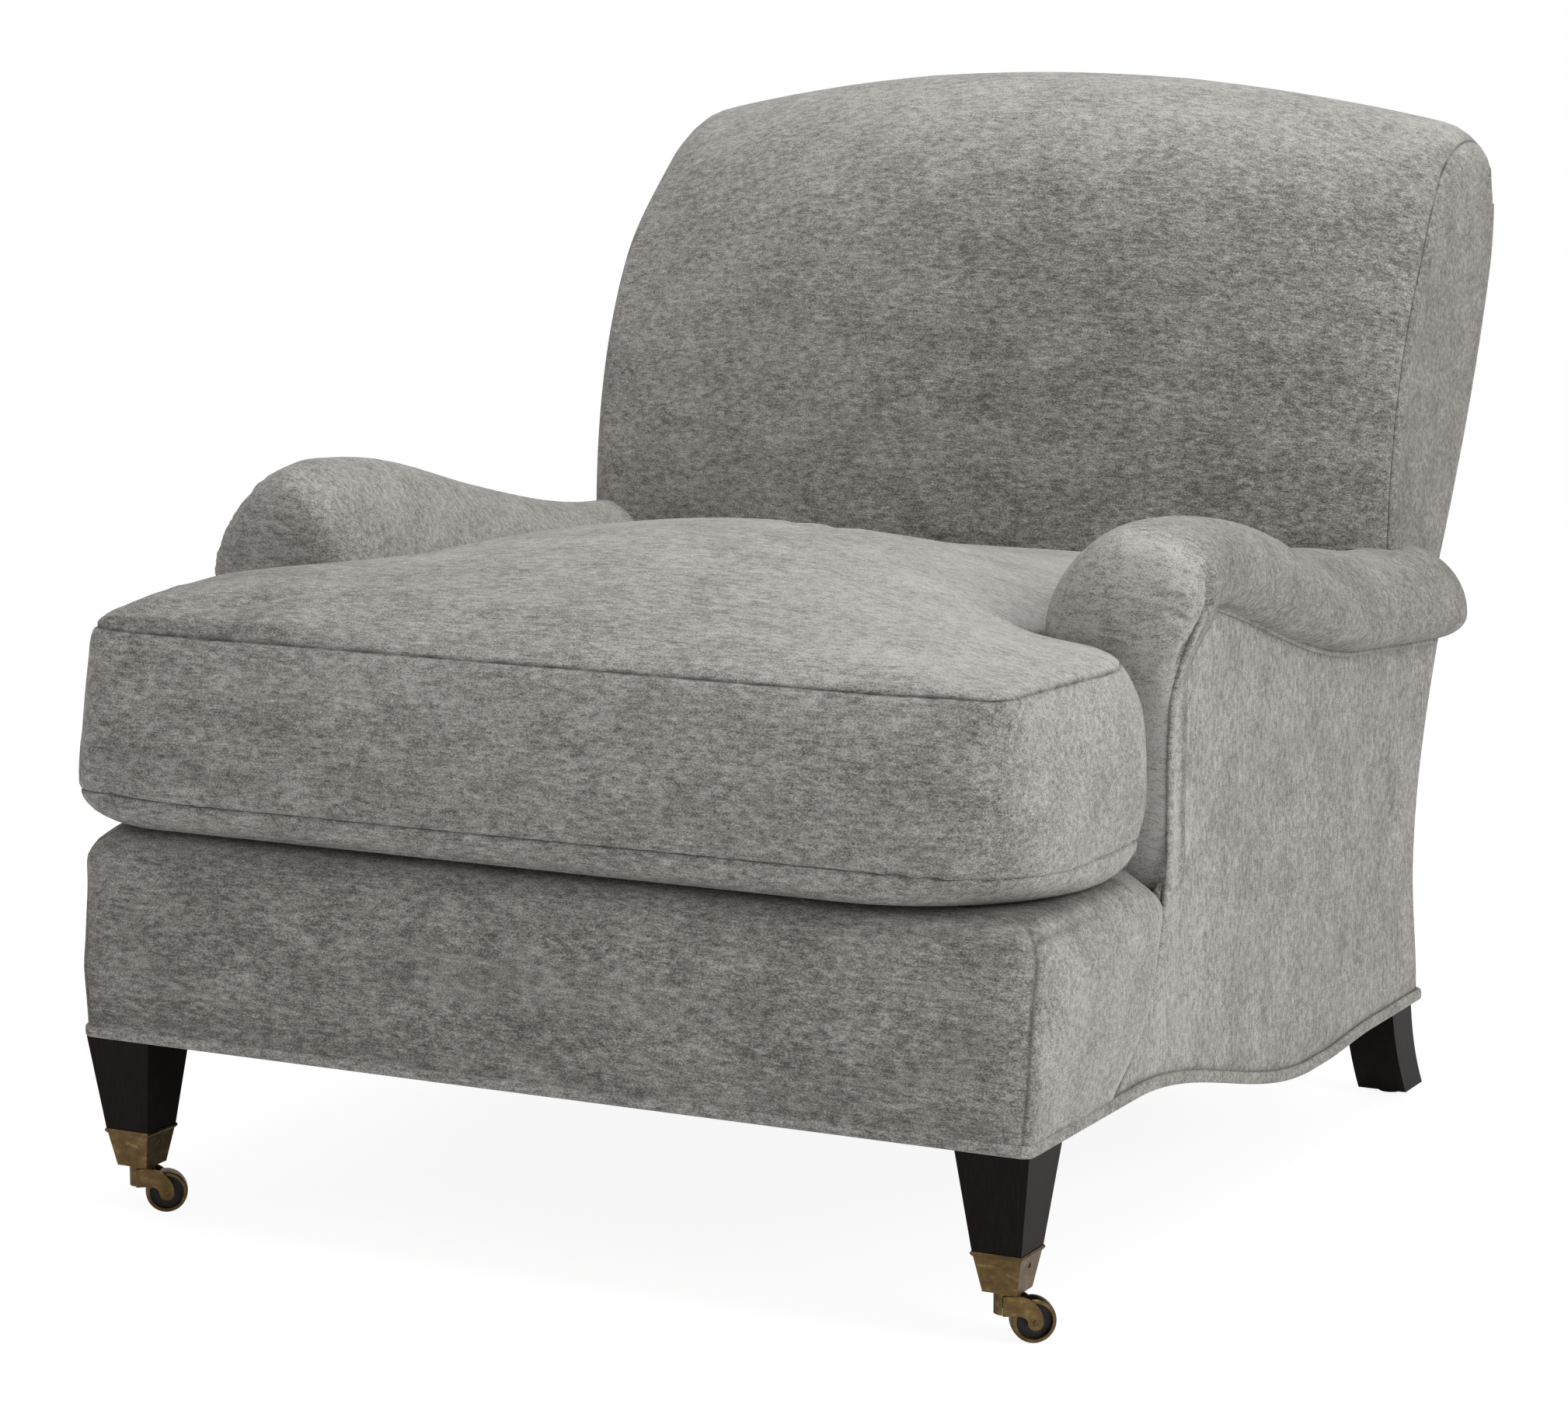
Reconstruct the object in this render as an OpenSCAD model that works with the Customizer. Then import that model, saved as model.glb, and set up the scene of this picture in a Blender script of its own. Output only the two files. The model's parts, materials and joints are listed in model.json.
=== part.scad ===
// Roll-arm club chair: tight back, loose T-shaped seat cushion, casters in front.
// Millimetres. The chair faces -Y and stands on Z = 0. Left is -X, right is +X.

/* [Overall] */
// Depth from the front of the seat cushion to the back of the backrest
overall_d = 1018; // [978:4:1068]
// Height of the backrest's crest above the floor
overall_h = 843; // [820:1:880]
// Width over the outside panels of the arms
base_w = 776; // [740:2:820]
// Height of the base's lower edge above the floor at the front
front_clear = 140; // [130:1:150]
// Height of the base's lower edge above the floor at the back
rear_clear = 85; // [78:1:92]

/* [Seat frame] */
// Height of the top face of the seat rails
rail_top = 270; // [262:1:280]
// Thickness of the seat rails
rail_t = 28; // [22:1:34]
// Depth of the ledge in front of the arms
ledge_d = 245; // [225:5:260]
// Depth of the seat from the arm fronts to the backrest
seat_d = 508; // [490:2:530]
// Thickness of the padding over the seat springs
deck_t = 24; // [20:1:30]
// Diameter of the spring wire
wire_d = 3.6; // [3:0.2:4.2]
// Number of seat springs
spring_count = 5; // [4:1:6]

/* [Arms] */
// Width of an arm between its inner and outer faces
arm_w = 100; // [92:1:112]
// Height of the arm's roll at its front
arm_top = 543; // [530:1:560]
// Height of the arm's roll where it meets the backrest
arm_low = 468; // [455:1:480]
// How far the roll overhangs the outside panel
roll_over = 31; // [22:1:40]
// How far the roll's knob stands forward of the arm's front
knob_out = 24; // [14:1:30]
// Thickness of the padding on the inside of an arm
arm_pad_t = 27; // [20:1:30]

/* [Backrest] */
// How far the backrest's sides lie inside the outer faces of the arm panels
back_inset = 16; // [16:1:28]
// How far the middle of the backrest bulges forward
back_crown = 40; // [24:1:44]
// How far the crest rises above the backrest's top corners
crest_rise = 46; // [30:1:56]
// Depth of the back posts
post_d = 42; // [34:1:46]
// Width of the back posts
post_w = 40; // [34:1:46]

/* [Cushion] */
// Height of the cushion's boxing between its two seams
boxing_h = 123; // [100:1:130]
// Height of the crown above the upper seam
crown_h = 64; // [40:1:70]
// How far the ends of the cushion's T-shaped front lie inside the arm panels
ear_inset = 1; // [0:1:12]

/* [Legs] */
// Width of a front leg at its top
leg_top_w = 56; // [50:1:60]
// Width of a front leg just above its caster socket
leg_foot_w = 37.4; // [34:0.2:38]
// Distance from an arm panel's outer face in to the middle of a front leg
leg_inset = 28; // [26:1:38]
// Width of a rear leg from side to side
rear_leg_w = 41.6; // [36:0.2:44]

/* [Casters] */
// Diameter of the caster wheels
wheel_d = 32; // [30:0.5:33]
// Width of the caster wheels
wheel_w = 15; // [13:0.5:15.5]
// Distance from the swivel axis to the wheel's axle
trail = 18; // [18:0.5:20]
// Angle that the casters are turned to, from the right towards the back
caster_turn = 36; // [0:1:360]

/* [Hidden] */

left = -1;
right = 1;
sides = [left, right];

velvet = [0.62, 0.61, 0.6];
beech = [0.78, 0.62, 0.42];
espresso = [0.1, 0.08, 0.07];
old_brass = [0.5, 0.41, 0.27];
steel = [0.7, 0.71, 0.72];

seat_gap = 0.3;      // soft faces lie this far from what carries them
bore_gap = 0.05;     // radial clearance of pins in their bores
skin_t = 8;          // padded fabric on the outside of the frame
hem_h = 11;          // height of the self welt along the lower edge
hem_out = 2;         // how far that welt stands proud
clip_t = 1.2;        // sheet that the spring clips are bent from

// Stations along the depth
cushion_y = -overall_d / 2;
cushion_bulge = 5;
border_y = cushion_y + 8;
arm_y = border_y + ledge_d;
back_y = arm_y + seat_d;
rear_y = back_y + 50;
crest_y = overall_d / 2;
frame_y = border_y + skin_t;

// Stations across the width
panel_x = base_w / 2;
frame_x = panel_x - skin_t;
rail_x = frame_x - rail_t;
arm_inner_x = panel_x - arm_w;
ear_half = panel_x - ear_inset;
back_half = panel_x - back_inset;
post_x = back_half - skin_t;

// Heights
pad_z = rail_top + 2 * clip_t + wire_d + 0.5 + seat_gap;
deck_z = pad_z + deck_t;
cushion_z = deck_z + seat_gap;
back_top_z = overall_h - crest_rise;
post_top = back_top_z - 47;

function smooth(t) = let (u = min(max(t, 0), 1)) u * u * (3 - 2 * u);
function bez(p, t) = pow(1 - t, 3) * p[0] + 3 * pow(1 - t, 2) * t * p[1]
  + 3 * (1 - t) * t * t * p[2] + pow(t, 3) * p[3];
function steps(a, b, n) = [for (i = [0:n]) a + (b - a) * i / n];
function turned(list) = [for (i = [len(list) - 1:-1:0]) list[i]];

// Lower edge of the base: level at the front, then a long S down to the back
dip_z = rear_clear - 4;
dip_y = arm_y + 302;
function hem_z(y) = front_clear
  - (front_clear - dip_z) * smooth((y - arm_y + 58) / 360)
  + (rear_clear - dip_z) * smooth((y - dip_y - 30) / 100);

// Crest of the arm's roll, and its underside, which the outside arm panel reaches
roll_h = 55;         // height of the roll's outer side behind the knob
arm_fall = arm_top - arm_low;
crest_run = 490;     // length over which the crest falls
base_run = 375;      // length over which the underside sweeps down
base_slope = 0.08;   // slope that the underside keeps beyond that
function roll_crest(y) = arm_top - arm_fall * smooth((y - arm_y - 30) / crest_run);
function roll_base(y) = arm_top - roll_h
  - 0.75 * arm_fall * smooth((y - arm_y) / base_run) - base_slope * (y - arm_y - 32);

// Rear line of the side and of the backrest, and the front line of the backrest
rear_in = 15;        // the rear draws in this far above the hem
rear_pts = [[rear_y - rear_in, 200], [rear_y - rear_in, 345], [crest_y - 117, 452], [crest_y, post_top]];
front_pts = [[back_y, 440], [back_y, 600], [crest_y - 211, 690], [crest_y - 127, post_top + 20]];
rear_z0 = rear_pts[0][1];
function rear_t(z) = (z - rear_z0) / (post_top - rear_z0);
// Solves the curve's height for its parameter in a few Newton steps
function solve_t(p, z, t, n) = n == 0 ? t :
  let (d = (bez(p, t + 0.001)[1] - bez(p, t)[1]) / 0.001)
  solve_t(p, z, min(max(t - (bez(p, t)[1] - z) / d, 0), 1), n - 1);
function rear_line(z) = z <= rear_z0 ? rear_y - rear_in * (1 - smooth((rear_z0 - z) / 110))
  : bez(rear_pts, solve_t(rear_pts, z, rear_t(z), 6))[0];
function post_front(z) = rear_line(z) - skin_t - post_d;

// Turns a profile drawn as [y, z] into a slab between two X planes
module slab_x(x0, x1) {
  translate([x0, 0, 0]) rotate([90, 0, 90]) linear_extrude(x1 - x0) children();
}

// The same slab on the left or on the right
module slab_side(side, x0, x1) {
  slab_x(side > 0 ? x0 : -x1, side > 0 ? x1 : -x0) children();
}

module block(x0, x1, y0, y1, z0, z1) {
  translate([x0, y0, z0]) cube([x1 - x0, y1 - y0, z1 - z0]);
}

// A solid through rings of equally many points, closed at both ends
module loft(rings) {
  n = len(rings[0]);
  m = len(rings);
  middle = [for (r = [rings[0], rings[m - 1]]) [for (a = [0:2]) let (c = [for (p = r) p[a]])
    c * [for (p = r) 1] / n]];
  pts = concat([for (r = rings) each r], middle);
  walls = [for (j = [0:m - 2]) for (i = [0:n - 1]) let (k = (i + 1) % n)
    each [[j * n + i, j * n + k, (j + 1) * n + k], [j * n + i, (j + 1) * n + k, (j + 1) * n + i]]];
  cap0 = [for (i = [0:n - 1]) [(i + 1) % n, i, m * n]];
  cap1 = [for (i = [0:n - 1]) [(m - 1) * n + i, (m - 1) * n + (i + 1) % n, m * n + 1]];
  polyhedron(pts, concat(cap0, walls, cap1), convexity = 6);
}

// Square tapered bar, half widths h0 at z0 and h1 at z1
module taper(h0, z0, h1, z1) {
  pts = [for (s = [[h0, z0], [h1, z1]]) for (c = [[-1, -1], [1, -1], [1, 1], [-1, 1]])
    [c[0] * s[0], c[1] * s[0], s[1]]];
  polyhedron(pts, [[0, 1, 2, 3], [7, 6, 5, 4], [4, 5, 1, 0], [5, 6, 2, 1], [6, 7, 3, 2], [7, 4, 0, 3]]);
}

/* ---------- Seat frame ---------- */

front_post_w = 52;
front_post_x = frame_x - front_post_w;
front_post_y = frame_y + front_post_w;
rear_leg_x = frame_x - rear_leg_w - 0.4;
rear_leg_y = rear_y - 46;
rear_frame_y = rear_y - rear_in - skin_t;
rear_post_y = rear_frame_y - post_d;
rear_rail_y = rear_frame_y - rail_t;
rail_rise = 4;       // rails stop this far above the hem's lower edge

leg_x = panel_x - leg_inset;
leg_y = border_y + 30;
bolt_r = 4;
bolt_down = 40;
bolt_up = 80;

module front_rail() {
  color(beech)
  block(-front_post_x, front_post_x, frame_y, frame_y + rail_t, front_clear + rail_rise, rail_top);
}

module rear_rail() {
  color(beech)
  block(-rear_leg_x, rear_leg_x, rear_rail_y, rear_rail_y + rail_t, rear_clear + 16, rail_top);
}

module side_rail(side) {
  ys = steps(front_post_y, rear_post_y, 16);
  color(beech)
  slab_side(side, rail_x, frame_x)
  polygon(concat([for (y = ys) [y, hem_z(y) + rail_rise]],
    [[rear_post_y, rail_top], [front_post_y, rail_top]]));
}

module front_post(side) {
  x0 = side > 0 ? front_post_x : -frame_x;
  color(beech)
  difference() {
    block(x0, x0 + front_post_w, frame_y, front_post_y, front_clear, rail_top);
    translate([side * leg_x, leg_y, front_clear - 1])
    cylinder(r = bolt_r + bore_gap, h = bolt_up + 1.5, $fn = 32);
  }
}

// Triangular glue blocks in the two rear corners
brace = 60;
module corner_braces() {
  out = rear_leg_x - rail_x;
  step = rear_post_y - rear_rail_y - seat_gap;
  color(beech)
  for (s = sides)
  translate([s * rear_leg_x, rear_rail_y, 0])
  mirror([s > 0 ? 1 : 0, 0, 0])
  translate([0, 0, rear_clear + 22])
  linear_extrude(rail_top - rear_clear - 40)
  polygon([[0, 0], [brace, 0], [out + 12, -brace], [out, -brace], [out, step], [0, step]]);
}

// The posts that the arms are built on: a stem with a scroll-shaped head
stump_x0 = arm_inner_x + arm_pad_t + 1;
stump_t = 28;
stump_y = arm_y + skin_t;
head_r = 34;

// Underside of the arm's roll as its rings draw it, which the pieces below the roll follow
roll_end = back_y + 96;
roll_mid_ys = steps(arm_y + 26, back_y + 30, 16);
roll_end_ys = [roll_end - 40, roll_end - 14, roll_end];
sole = [for (y = concat([stump_y], roll_mid_ys, roll_end_ys)) [y, roll_base(y)]];
function under_roll(y0, y1, g) = [for (y = concat([y0], [for (s = sole) if (s[0] > y0 + 1 && s[0] < y1 - 1) s[0]], [y1]))
  [y, lookup(y, sole) - g]];

head_z = roll_base(stump_y + stump_t) - seat_gap - head_r;
module arm_post(side) {
  color(beech)
  translate([0, stump_y + stump_t, 0])
  rotate([90, 0, 0])
  linear_extrude(stump_t)
  union() {
    translate([side > 0 ? stump_x0 : -frame_x, rail_top])
    square([frame_x - stump_x0, head_z - rail_top]);
    translate([side * (stump_x0 + frame_x) / 2, head_z])
    intersection() {
      circle(r = head_r, $fn = 48);
      translate([-(frame_x - stump_x0) / 2, -1]) square([frame_x - stump_x0, head_r + 1]);
    }
  }
}

arm_rail_t = 30;
strap_t = 2.2;
module arm_rail_bar(side, y1, g) {
  slab_side(side, stump_x0 - g, frame_x + g)
  polygon(concat(under_roll(stump_y + stump_t, y1, seat_gap + arm_rail_t + g),
    turned(under_roll(stump_y + stump_t, y1, seat_gap - g))));
}

module arm_rail(side) {
  color(beech) arm_rail_bar(side, post_front(rail_top) - strap_t - seat_gap, 0);
}

post_zs = steps(rail_top, post_top, 24);
module back_post(side) {
  color(beech)
  slab_side(side, post_x - post_w, post_x - 0.4)
  polygon(concat([for (z = post_zs) [post_front(z), z]],
    [for (z = turned(post_zs)) [rear_line(z) - skin_t, z]]));
}

// A board between the back posts, from station i0 to station i1 of their height
module back_board(i0, i1) {
  zs = [for (i = [i0:i1]) post_zs[i]];
  color(beech)
  slab_x(-post_x + post_w, post_x - post_w)
  polygon(concat([for (z = zs) [post_front(z), z]],
    [for (z = turned(zs)) [rear_line(z) - skin_t - 14, z]]));
}

module back_top_rail() { back_board(21, 24); }
module back_lower_rail() { back_board(2, 4); }

module back_webbing() {
  color([0.25, 0.24, 0.22])
  for (i0 = [5, 9, 13, 17]) {
    zs = [for (i = [i0:i0 + 3]) post_zs[i]];
    slab_x(-post_x + 2, post_x - 2)
    polygon(concat([for (z = zs) [post_front(z) - strap_t, z]],
      [for (z = turned(zs)) [post_front(z), z]]));
  }
}

/* ---------- Seat springs ---------- */

spring_y0 = frame_y + 13;
spring_pitch = 46;
spring_run = rear_rail_y + 13 - spring_y0;
spring_turns = round(spring_run / spring_pitch);
spring_step = floor(4 * spring_run / spring_turns) / 4;
spring_y1 = spring_y0 + spring_turns * spring_step;
spring_bar = 24;
spring_z = rail_top + clip_t + 0.2 + wire_d / 2;
spring_xs = [for (i = [0:spring_count - 1])
  (i - (spring_count - 1) / 2) * 2 * (arm_inner_x - 38) / (spring_count - 1)];

module spring() {
  for (i = [0:spring_turns])
  translate([-spring_bar / 2, i * spring_step, 0])
  rotate([0, 90, 0])
  cylinder(d = wire_d, h = spring_bar, $fn = 24);
  for (i = [0:spring_turns - 1])
  translate([(i % 2 == 0 ? 1 : -1) * spring_bar / 2, (i + 0.5) * spring_step, 0])
  rotate([0, 0, i % 2 == 0 ? -90 : 90])
  rotate_extrude(angle = 180, $fn = 24)
  translate([spring_step / 2, 0])
  circle(d = wire_d, $fn = 24);
}

module seat_springs() {
  color(steel)
  for (x = spring_xs) translate([x, spring_y0, spring_z]) spring();
}

clip_w = 18;
clip_d = 18;
module clip() {
  h = 2 * clip_t + wire_d + 0.4;
  slab_x(-clip_w / 2, clip_w / 2)
  polygon([[-6, 0], [clip_d - 6, 0], [clip_d - 6, clip_t], [-6 + clip_t, clip_t],
    [-6 + clip_t, h - clip_t], [4, h - clip_t], [4, h], [-6, h]]);
}

module spring_clips() {
  color(steel)
  for (x = spring_xs) {
    translate([x, spring_y0, rail_top]) clip();
    translate([x, spring_y1, rail_top]) rotate([0, 0, 180]) clip();
  }
}

/* ---------- Legs ---------- */

socket_z = 38;       // lower face of the caster socket
socket_h = 26;
lip_h = 3.4;
lip_z = socket_z + socket_h;
socket_foot = 13.1;  // half width of the socket at its lower face
socket_mouth = 18;
socket_wall = 1.8;
socket_floor = 4;
foot_z = socket_z + socket_floor + 0.1;
foot_cut = (socket_mouth - socket_foot) * socket_floor / socket_h;
leg_end_z = lip_z + lip_h;
screw_z = lip_z - 7;
screw_r = 1.9;
pivot_r = 3;
pivot_head_r = 5;
pivot_head_h = 2;

module front_leg(side) {
  color(espresso)
  difference() {
    translate([side * leg_x, leg_y, 0])
    union() {
      taper(leg_foot_w / 2, leg_end_z, leg_top_w / 2, front_clear);
      taper(socket_foot + foot_cut - socket_wall - 0.1, foot_z,
        socket_mouth - socket_wall + 0.5, leg_end_z + 0.5);
    }
    translate([side * leg_x, leg_y, front_clear - bolt_down - 0.5])
    cylinder(r = bolt_r + bore_gap, h = bolt_down + 1, $fn = 32);
    translate([side * leg_x, leg_y, foot_z - 1])
    cylinder(r = pivot_head_r + 0.4, h = pivot_head_h + 1.4, $fn = 32);
    translate([side * leg_x, leg_y, screw_z])
    rotate([0, 90, 0])
    cylinder(r = screw_r + bore_gap, h = leg_top_w, $fn = 24);
  }
}

module leg_bolts() {
  color(steel)
  for (s = sides)
  translate([s * leg_x, leg_y, front_clear - bolt_down])
  cylinder(r = bolt_r, h = bolt_down + bolt_up, $fn = 32);
}

// Sabre leg: straight beside the rails, then curving backwards to its foot
glide_h = 4.5;
foot_y = rear_leg_y + 59;
foot_half = 20.8;
knee_front = [[rear_leg_y, rear_clear], [rear_leg_y + 6, 56], [rear_leg_y + 20, 30], [foot_y - foot_half, glide_h]];
knee_rear = [[rear_y - 0.4, rear_clear], [rear_y + 4, 56], [rear_y + 14, 30], [foot_y + foot_half, glide_h]];
module rear_leg(side) {
  ts = steps(0, 1, 10);
  color(espresso)
  slab_side(side, rear_leg_x, rear_leg_x + rear_leg_w)
  polygon(concat([[rear_post_y, rail_top], [rear_post_y, rear_clear + rail_rise]],
    [for (t = ts) bez(knee_front, t) - [0, t == 0 ? 0.3 : 0]],
    [for (t = turned(ts)) bez(knee_rear, t) - [0, t == 0 ? 0.3 : 0]],
    [[rear_frame_y, rear_clear - 0.3], [rear_frame_y, rail_top]]));
}

glide_r = 11;
module rear_glides() {
  color([0.12, 0.12, 0.12])
  for (s = sides)
  translate([s * (rear_leg_x + rear_leg_w / 2), foot_y, 0])
  rotate_extrude($fn = 48)
  polygon([[0, 0], [glide_r - 1.5, 0], [glide_r, 1.5], [glide_r, glide_h], [0, glide_h]]);
}

/* ---------- Casters ---------- */

boss_r = 9.5;
horn_top = socket_z - 0.3;
plate_t = 4.4;
cheek_in = wheel_w / 2 + 1.1;
cheek_t = 2.4;
cheek_out = cheek_in + cheek_t;
axle_r = 2;
wheel_r = wheel_d / 2;
rim_t = 3.2;

module at_caster(side) {
  translate([side * leg_x, leg_y, 0]) children();
}

module at_horn(side) {
  at_caster(side) rotate([0, 0, caster_turn]) children();
}

// Square brass cup on the foot of the leg, with a rolled lip
module caster_socket(side) {
  color(old_brass)
  difference() {
    at_caster(side)
    union() {
      taper(socket_foot, socket_z, socket_mouth, lip_z);
      taper(socket_mouth + 0.4, lip_z - 0.2, socket_mouth + 1.8, lip_z + lip_h / 2);
      taper(socket_mouth + 1.8, lip_z + lip_h / 2 - 0.01, socket_mouth + 1.2, leg_end_z - 0.1);
    }
    at_caster(side)
    taper(socket_foot + foot_cut - socket_wall, socket_z + socket_floor,
      socket_mouth - socket_wall + 0.6, leg_end_z + 0.4);
    at_caster(side)
    translate([0, 0, socket_z - 1])
    cylinder(r = pivot_r + bore_gap, h = socket_floor + 2, $fn = 32);
    at_caster(side)
    translate([0, 0, screw_z])
    rotate([0, 90, 0])
    cylinder(r = screw_r + bore_gap, h = leg_top_w, $fn = 24);
  }
}

module socket_screws() {
  color(steel)
  for (s = sides)
  at_caster(s)
  translate([8, 0, screw_z])
  rotate([0, 90, 0])
  cylinder(r = screw_r, h = 7.6, $fn = 24);
}

// Riveted pin that the horn swivels on
module caster_pivot(side) {
  color(steel)
  at_caster(side)
  rotate_extrude($fn = 32)
  polygon([[0, horn_top - plate_t - 2.2], [4.3, horn_top - plate_t - 2.2], [4.3, horn_top - plate_t - 0.15],
    [pivot_r, horn_top - plate_t - 0.15], [pivot_r, foot_z + 0.05], [pivot_head_r, foot_z + 0.05],
    [pivot_head_r, foot_z + pivot_head_h], [0, foot_z + pivot_head_h]]);
}

cheek_top = horn_top - 2.2;
cheek_low = 21.5;
eye_r = 5.5;
module cheek_outline() {
  union() {
    polygon(concat([[-5, cheek_low], [-5, cheek_top]],
      [for (a = [0:9:90]) [3 + (trail + eye_r - 3) * sin(a), wheel_r + (cheek_top - wheel_r) * cos(a)]],
      [[trail - eye_r, wheel_r]],
      [for (a = [90:-15:0]) [4 + (trail - eye_r - 4) * sin(a), cheek_low - (cheek_low - wheel_r) * (1 - cos(a))]]));
    translate([trail, wheel_r]) circle(r = eye_r, $fn = 40);
  }
}

// Round column and plate on the swivel pin, with a curved cheek each side of the wheel
module caster_horn(side) {
  color(old_brass)
  at_horn(side)
  difference() {
    union() {
      translate([0, 0, horn_top - plate_t]) cylinder(r = boss_r, h = plate_t, $fn = 64);
      intersection() {
        translate([0, 0, cheek_low]) cylinder(r = boss_r, h = horn_top - cheek_low, $fn = 64);
        block(-boss_r - 1, -5, -cheek_out, cheek_out, cheek_low - 1, horn_top + 1);
      }
      for (s = sides)
      translate([0, s > 0 ? cheek_out : -cheek_in, 0])
      rotate([90, 0, 0])
      linear_extrude(cheek_t)
      cheek_outline();
      for (s = sides)
      block(-5, 3, s > 0 ? boss_r - 3 : -cheek_out, s > 0 ? cheek_out : -boss_r + 3, horn_top - plate_t, cheek_top);
    }
    translate([0, 0, horn_top - plate_t - 1]) cylinder(r = pivot_r + bore_gap, h = plate_t + 2, $fn = 32);
    translate([trail, 0, wheel_r])
    rotate([90, 0, 0])
    cylinder(r = axle_r + 0.03, h = 2 * cheek_out + 2, center = true, $fn = 32);
  }
}

module at_wheel(side) {
  at_horn(side) translate([trail, 0, wheel_r]) rotate([90, 0, 0]) children();
}

axle_half = cheek_out + 0.2;
module caster_axle(side) {
  color(old_brass)
  at_wheel(side)
  rotate_extrude($fn = 32)
  polygon(concat([[0, -axle_half - 0.9]], [for (a = [60:-20:0]) [axle_r * cos(a), -axle_half - 0.9 * sin(a)]],
    [for (a = [0:20:60]) [axle_r * cos(a), axle_half + 0.9 * sin(a)]], [[0, axle_half + 0.9]]));
}

module caster_rim(side) {
  h = wheel_w / 2;
  color(old_brass)
  at_wheel(side)
  rotate_extrude($fn = 96)
  polygon(concat([[wheel_r - rim_t, -h], [wheel_r - 1.2, -h]],
    [for (a = [-60:20:60]) [wheel_r - 1 + cos(a), (h - 0.9) * sin(a) / sin(60)]],
    [[wheel_r - 1.2, h], [wheel_r - rim_t, h]]));
}

core_r = wheel_r - rim_t - 0.03;
module caster_core(side) {
  web = 2.5;
  color([0.1, 0.09, 0.08])
  at_wheel(side)
  rotate_extrude($fn = 64)
  polygon([[axle_r + bore_gap, -wheel_w / 2], [4, -wheel_w / 2], [4, -web], [core_r, -web],
    [core_r, web], [4, web], [4, wheel_w / 2], [axle_r + bore_gap, wheel_w / 2]]);
}

/* ---------- Base upholstery ---------- */

block_out = 6;       // the front block stands this far proud of the arm panels

// The crease where the front block's side meets the outside arm panel
crease_top = [arm_y - 16, pad_z - seat_gap];
crease_pts = [[arm_y - 97, front_clear + hem_h], [arm_y - 60, front_clear + 34],
  [arm_y - 25, front_clear + 70], crease_top];
function crease(t) = bez(crease_pts, t);

module front_border() {
  color(velvet)
  block(-frame_x, frame_x, border_y, frame_y - seat_gap, front_clear + hem_h + seat_gap, pad_z - seat_gap);
}

module border_side(side) {
  color(velvet)
  slab_side(side, frame_x + seat_gap, panel_x + block_out)
  polygon(concat([[border_y, front_clear + hem_h + seat_gap]],
    [for (t = steps(0, 1, 8)) crease(t) + [-seat_gap, t == 0 ? seat_gap : 0]],
    [[border_y, pad_z - seat_gap]]));
}

// Padded ledge over the front of the base, its edges rounded over
ledge_rings = [[0, 0], [0.3, -1], [0.62, 4], [0.88, 14], [1, 32]];
function ledge_ring(h, in) = let (x = panel_x + block_out - in, y = border_y + in, c = 14) concat(
  [[x, arm_y - seat_gap, h]],
  [for (a = [0:-22.5:-90]) [x - c + c * cos(a), y + c + c * sin(a), h]],
  [for (a = [-90:-22.5:-180]) [-x + c + c * cos(a), y + c + c * sin(a), h]],
  [[-x, arm_y - seat_gap, h]]);
module ledge_pad() {
  color(velvet)
  loft([for (r = ledge_rings) turned(ledge_ring(pad_z + r[0] * deck_t, r[1]))]);
}

module deck_pad() {
  color(velvet)
  difference() {
    block(-arm_inner_x - arm_pad_t, arm_inner_x + arm_pad_t, arm_y, back_y - seat_gap, pad_z, deck_z - seat_gap);
    for (s = sides)
    translate([0, 0, pad_z - 1])
    deck_corner(s);
  }
}

// Room for the arm's front panel at a corner of the deck
module deck_corner(side) {
  x0 = arm_inner_x - seat_gap;
  translate([side > 0 ? x0 : -x0 - arm_pad_t - 1, arm_y - 1, 0])
  cube([arm_pad_t + 1, stump_y - arm_y + 1, deck_t + 2]);
}

hem_ys = steps(border_y - hem_out, rear_y, 28);
module base_hem() {
  color(velvet)
  union() {
    block(-panel_x, panel_x, border_y - hem_out, frame_y - seat_gap, front_clear, front_clear + hem_h);
    for (s = sides)
    slab_side(s, frame_x + seat_gap, panel_x + hem_out + 1)
    polygon(concat([for (y = hem_ys) [y, hem_z(y)]], [for (y = turned(hem_ys)) [y, hem_z(y) + hem_h]]));
    block(-panel_x, panel_x, rear_y - 8.6, rear_y, hem_z(rear_y), hem_z(rear_y) + hem_h);
  }
}

module dust_cover() {
  ys = steps(front_post_y + 0.4, rear_post_y - 0.4, 16);
  z0 = rail_rise - 2;
  color([0.1, 0.1, 0.1])
  slab_x(-frame_x + 0.4, frame_x - 0.4)
  polygon(concat([for (y = ys) [y, hem_z(y) + z0]], [for (y = turned(ys)) [y, hem_z(y) + z0 + 1.6]]));
}

/* ---------- Arm upholstery ---------- */

roll_in = 3;         // the roll bulges this far past the inside arm's face
roll_x = (arm_inner_x - roll_in + panel_x + roll_over) / 2;
roll_half = (panel_x + roll_over - arm_inner_x + roll_in) / 2;
knob_base = roll_base(arm_y) - 42;
shoulder_h = 78;     // the roll's inner side rounds over this height

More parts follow.
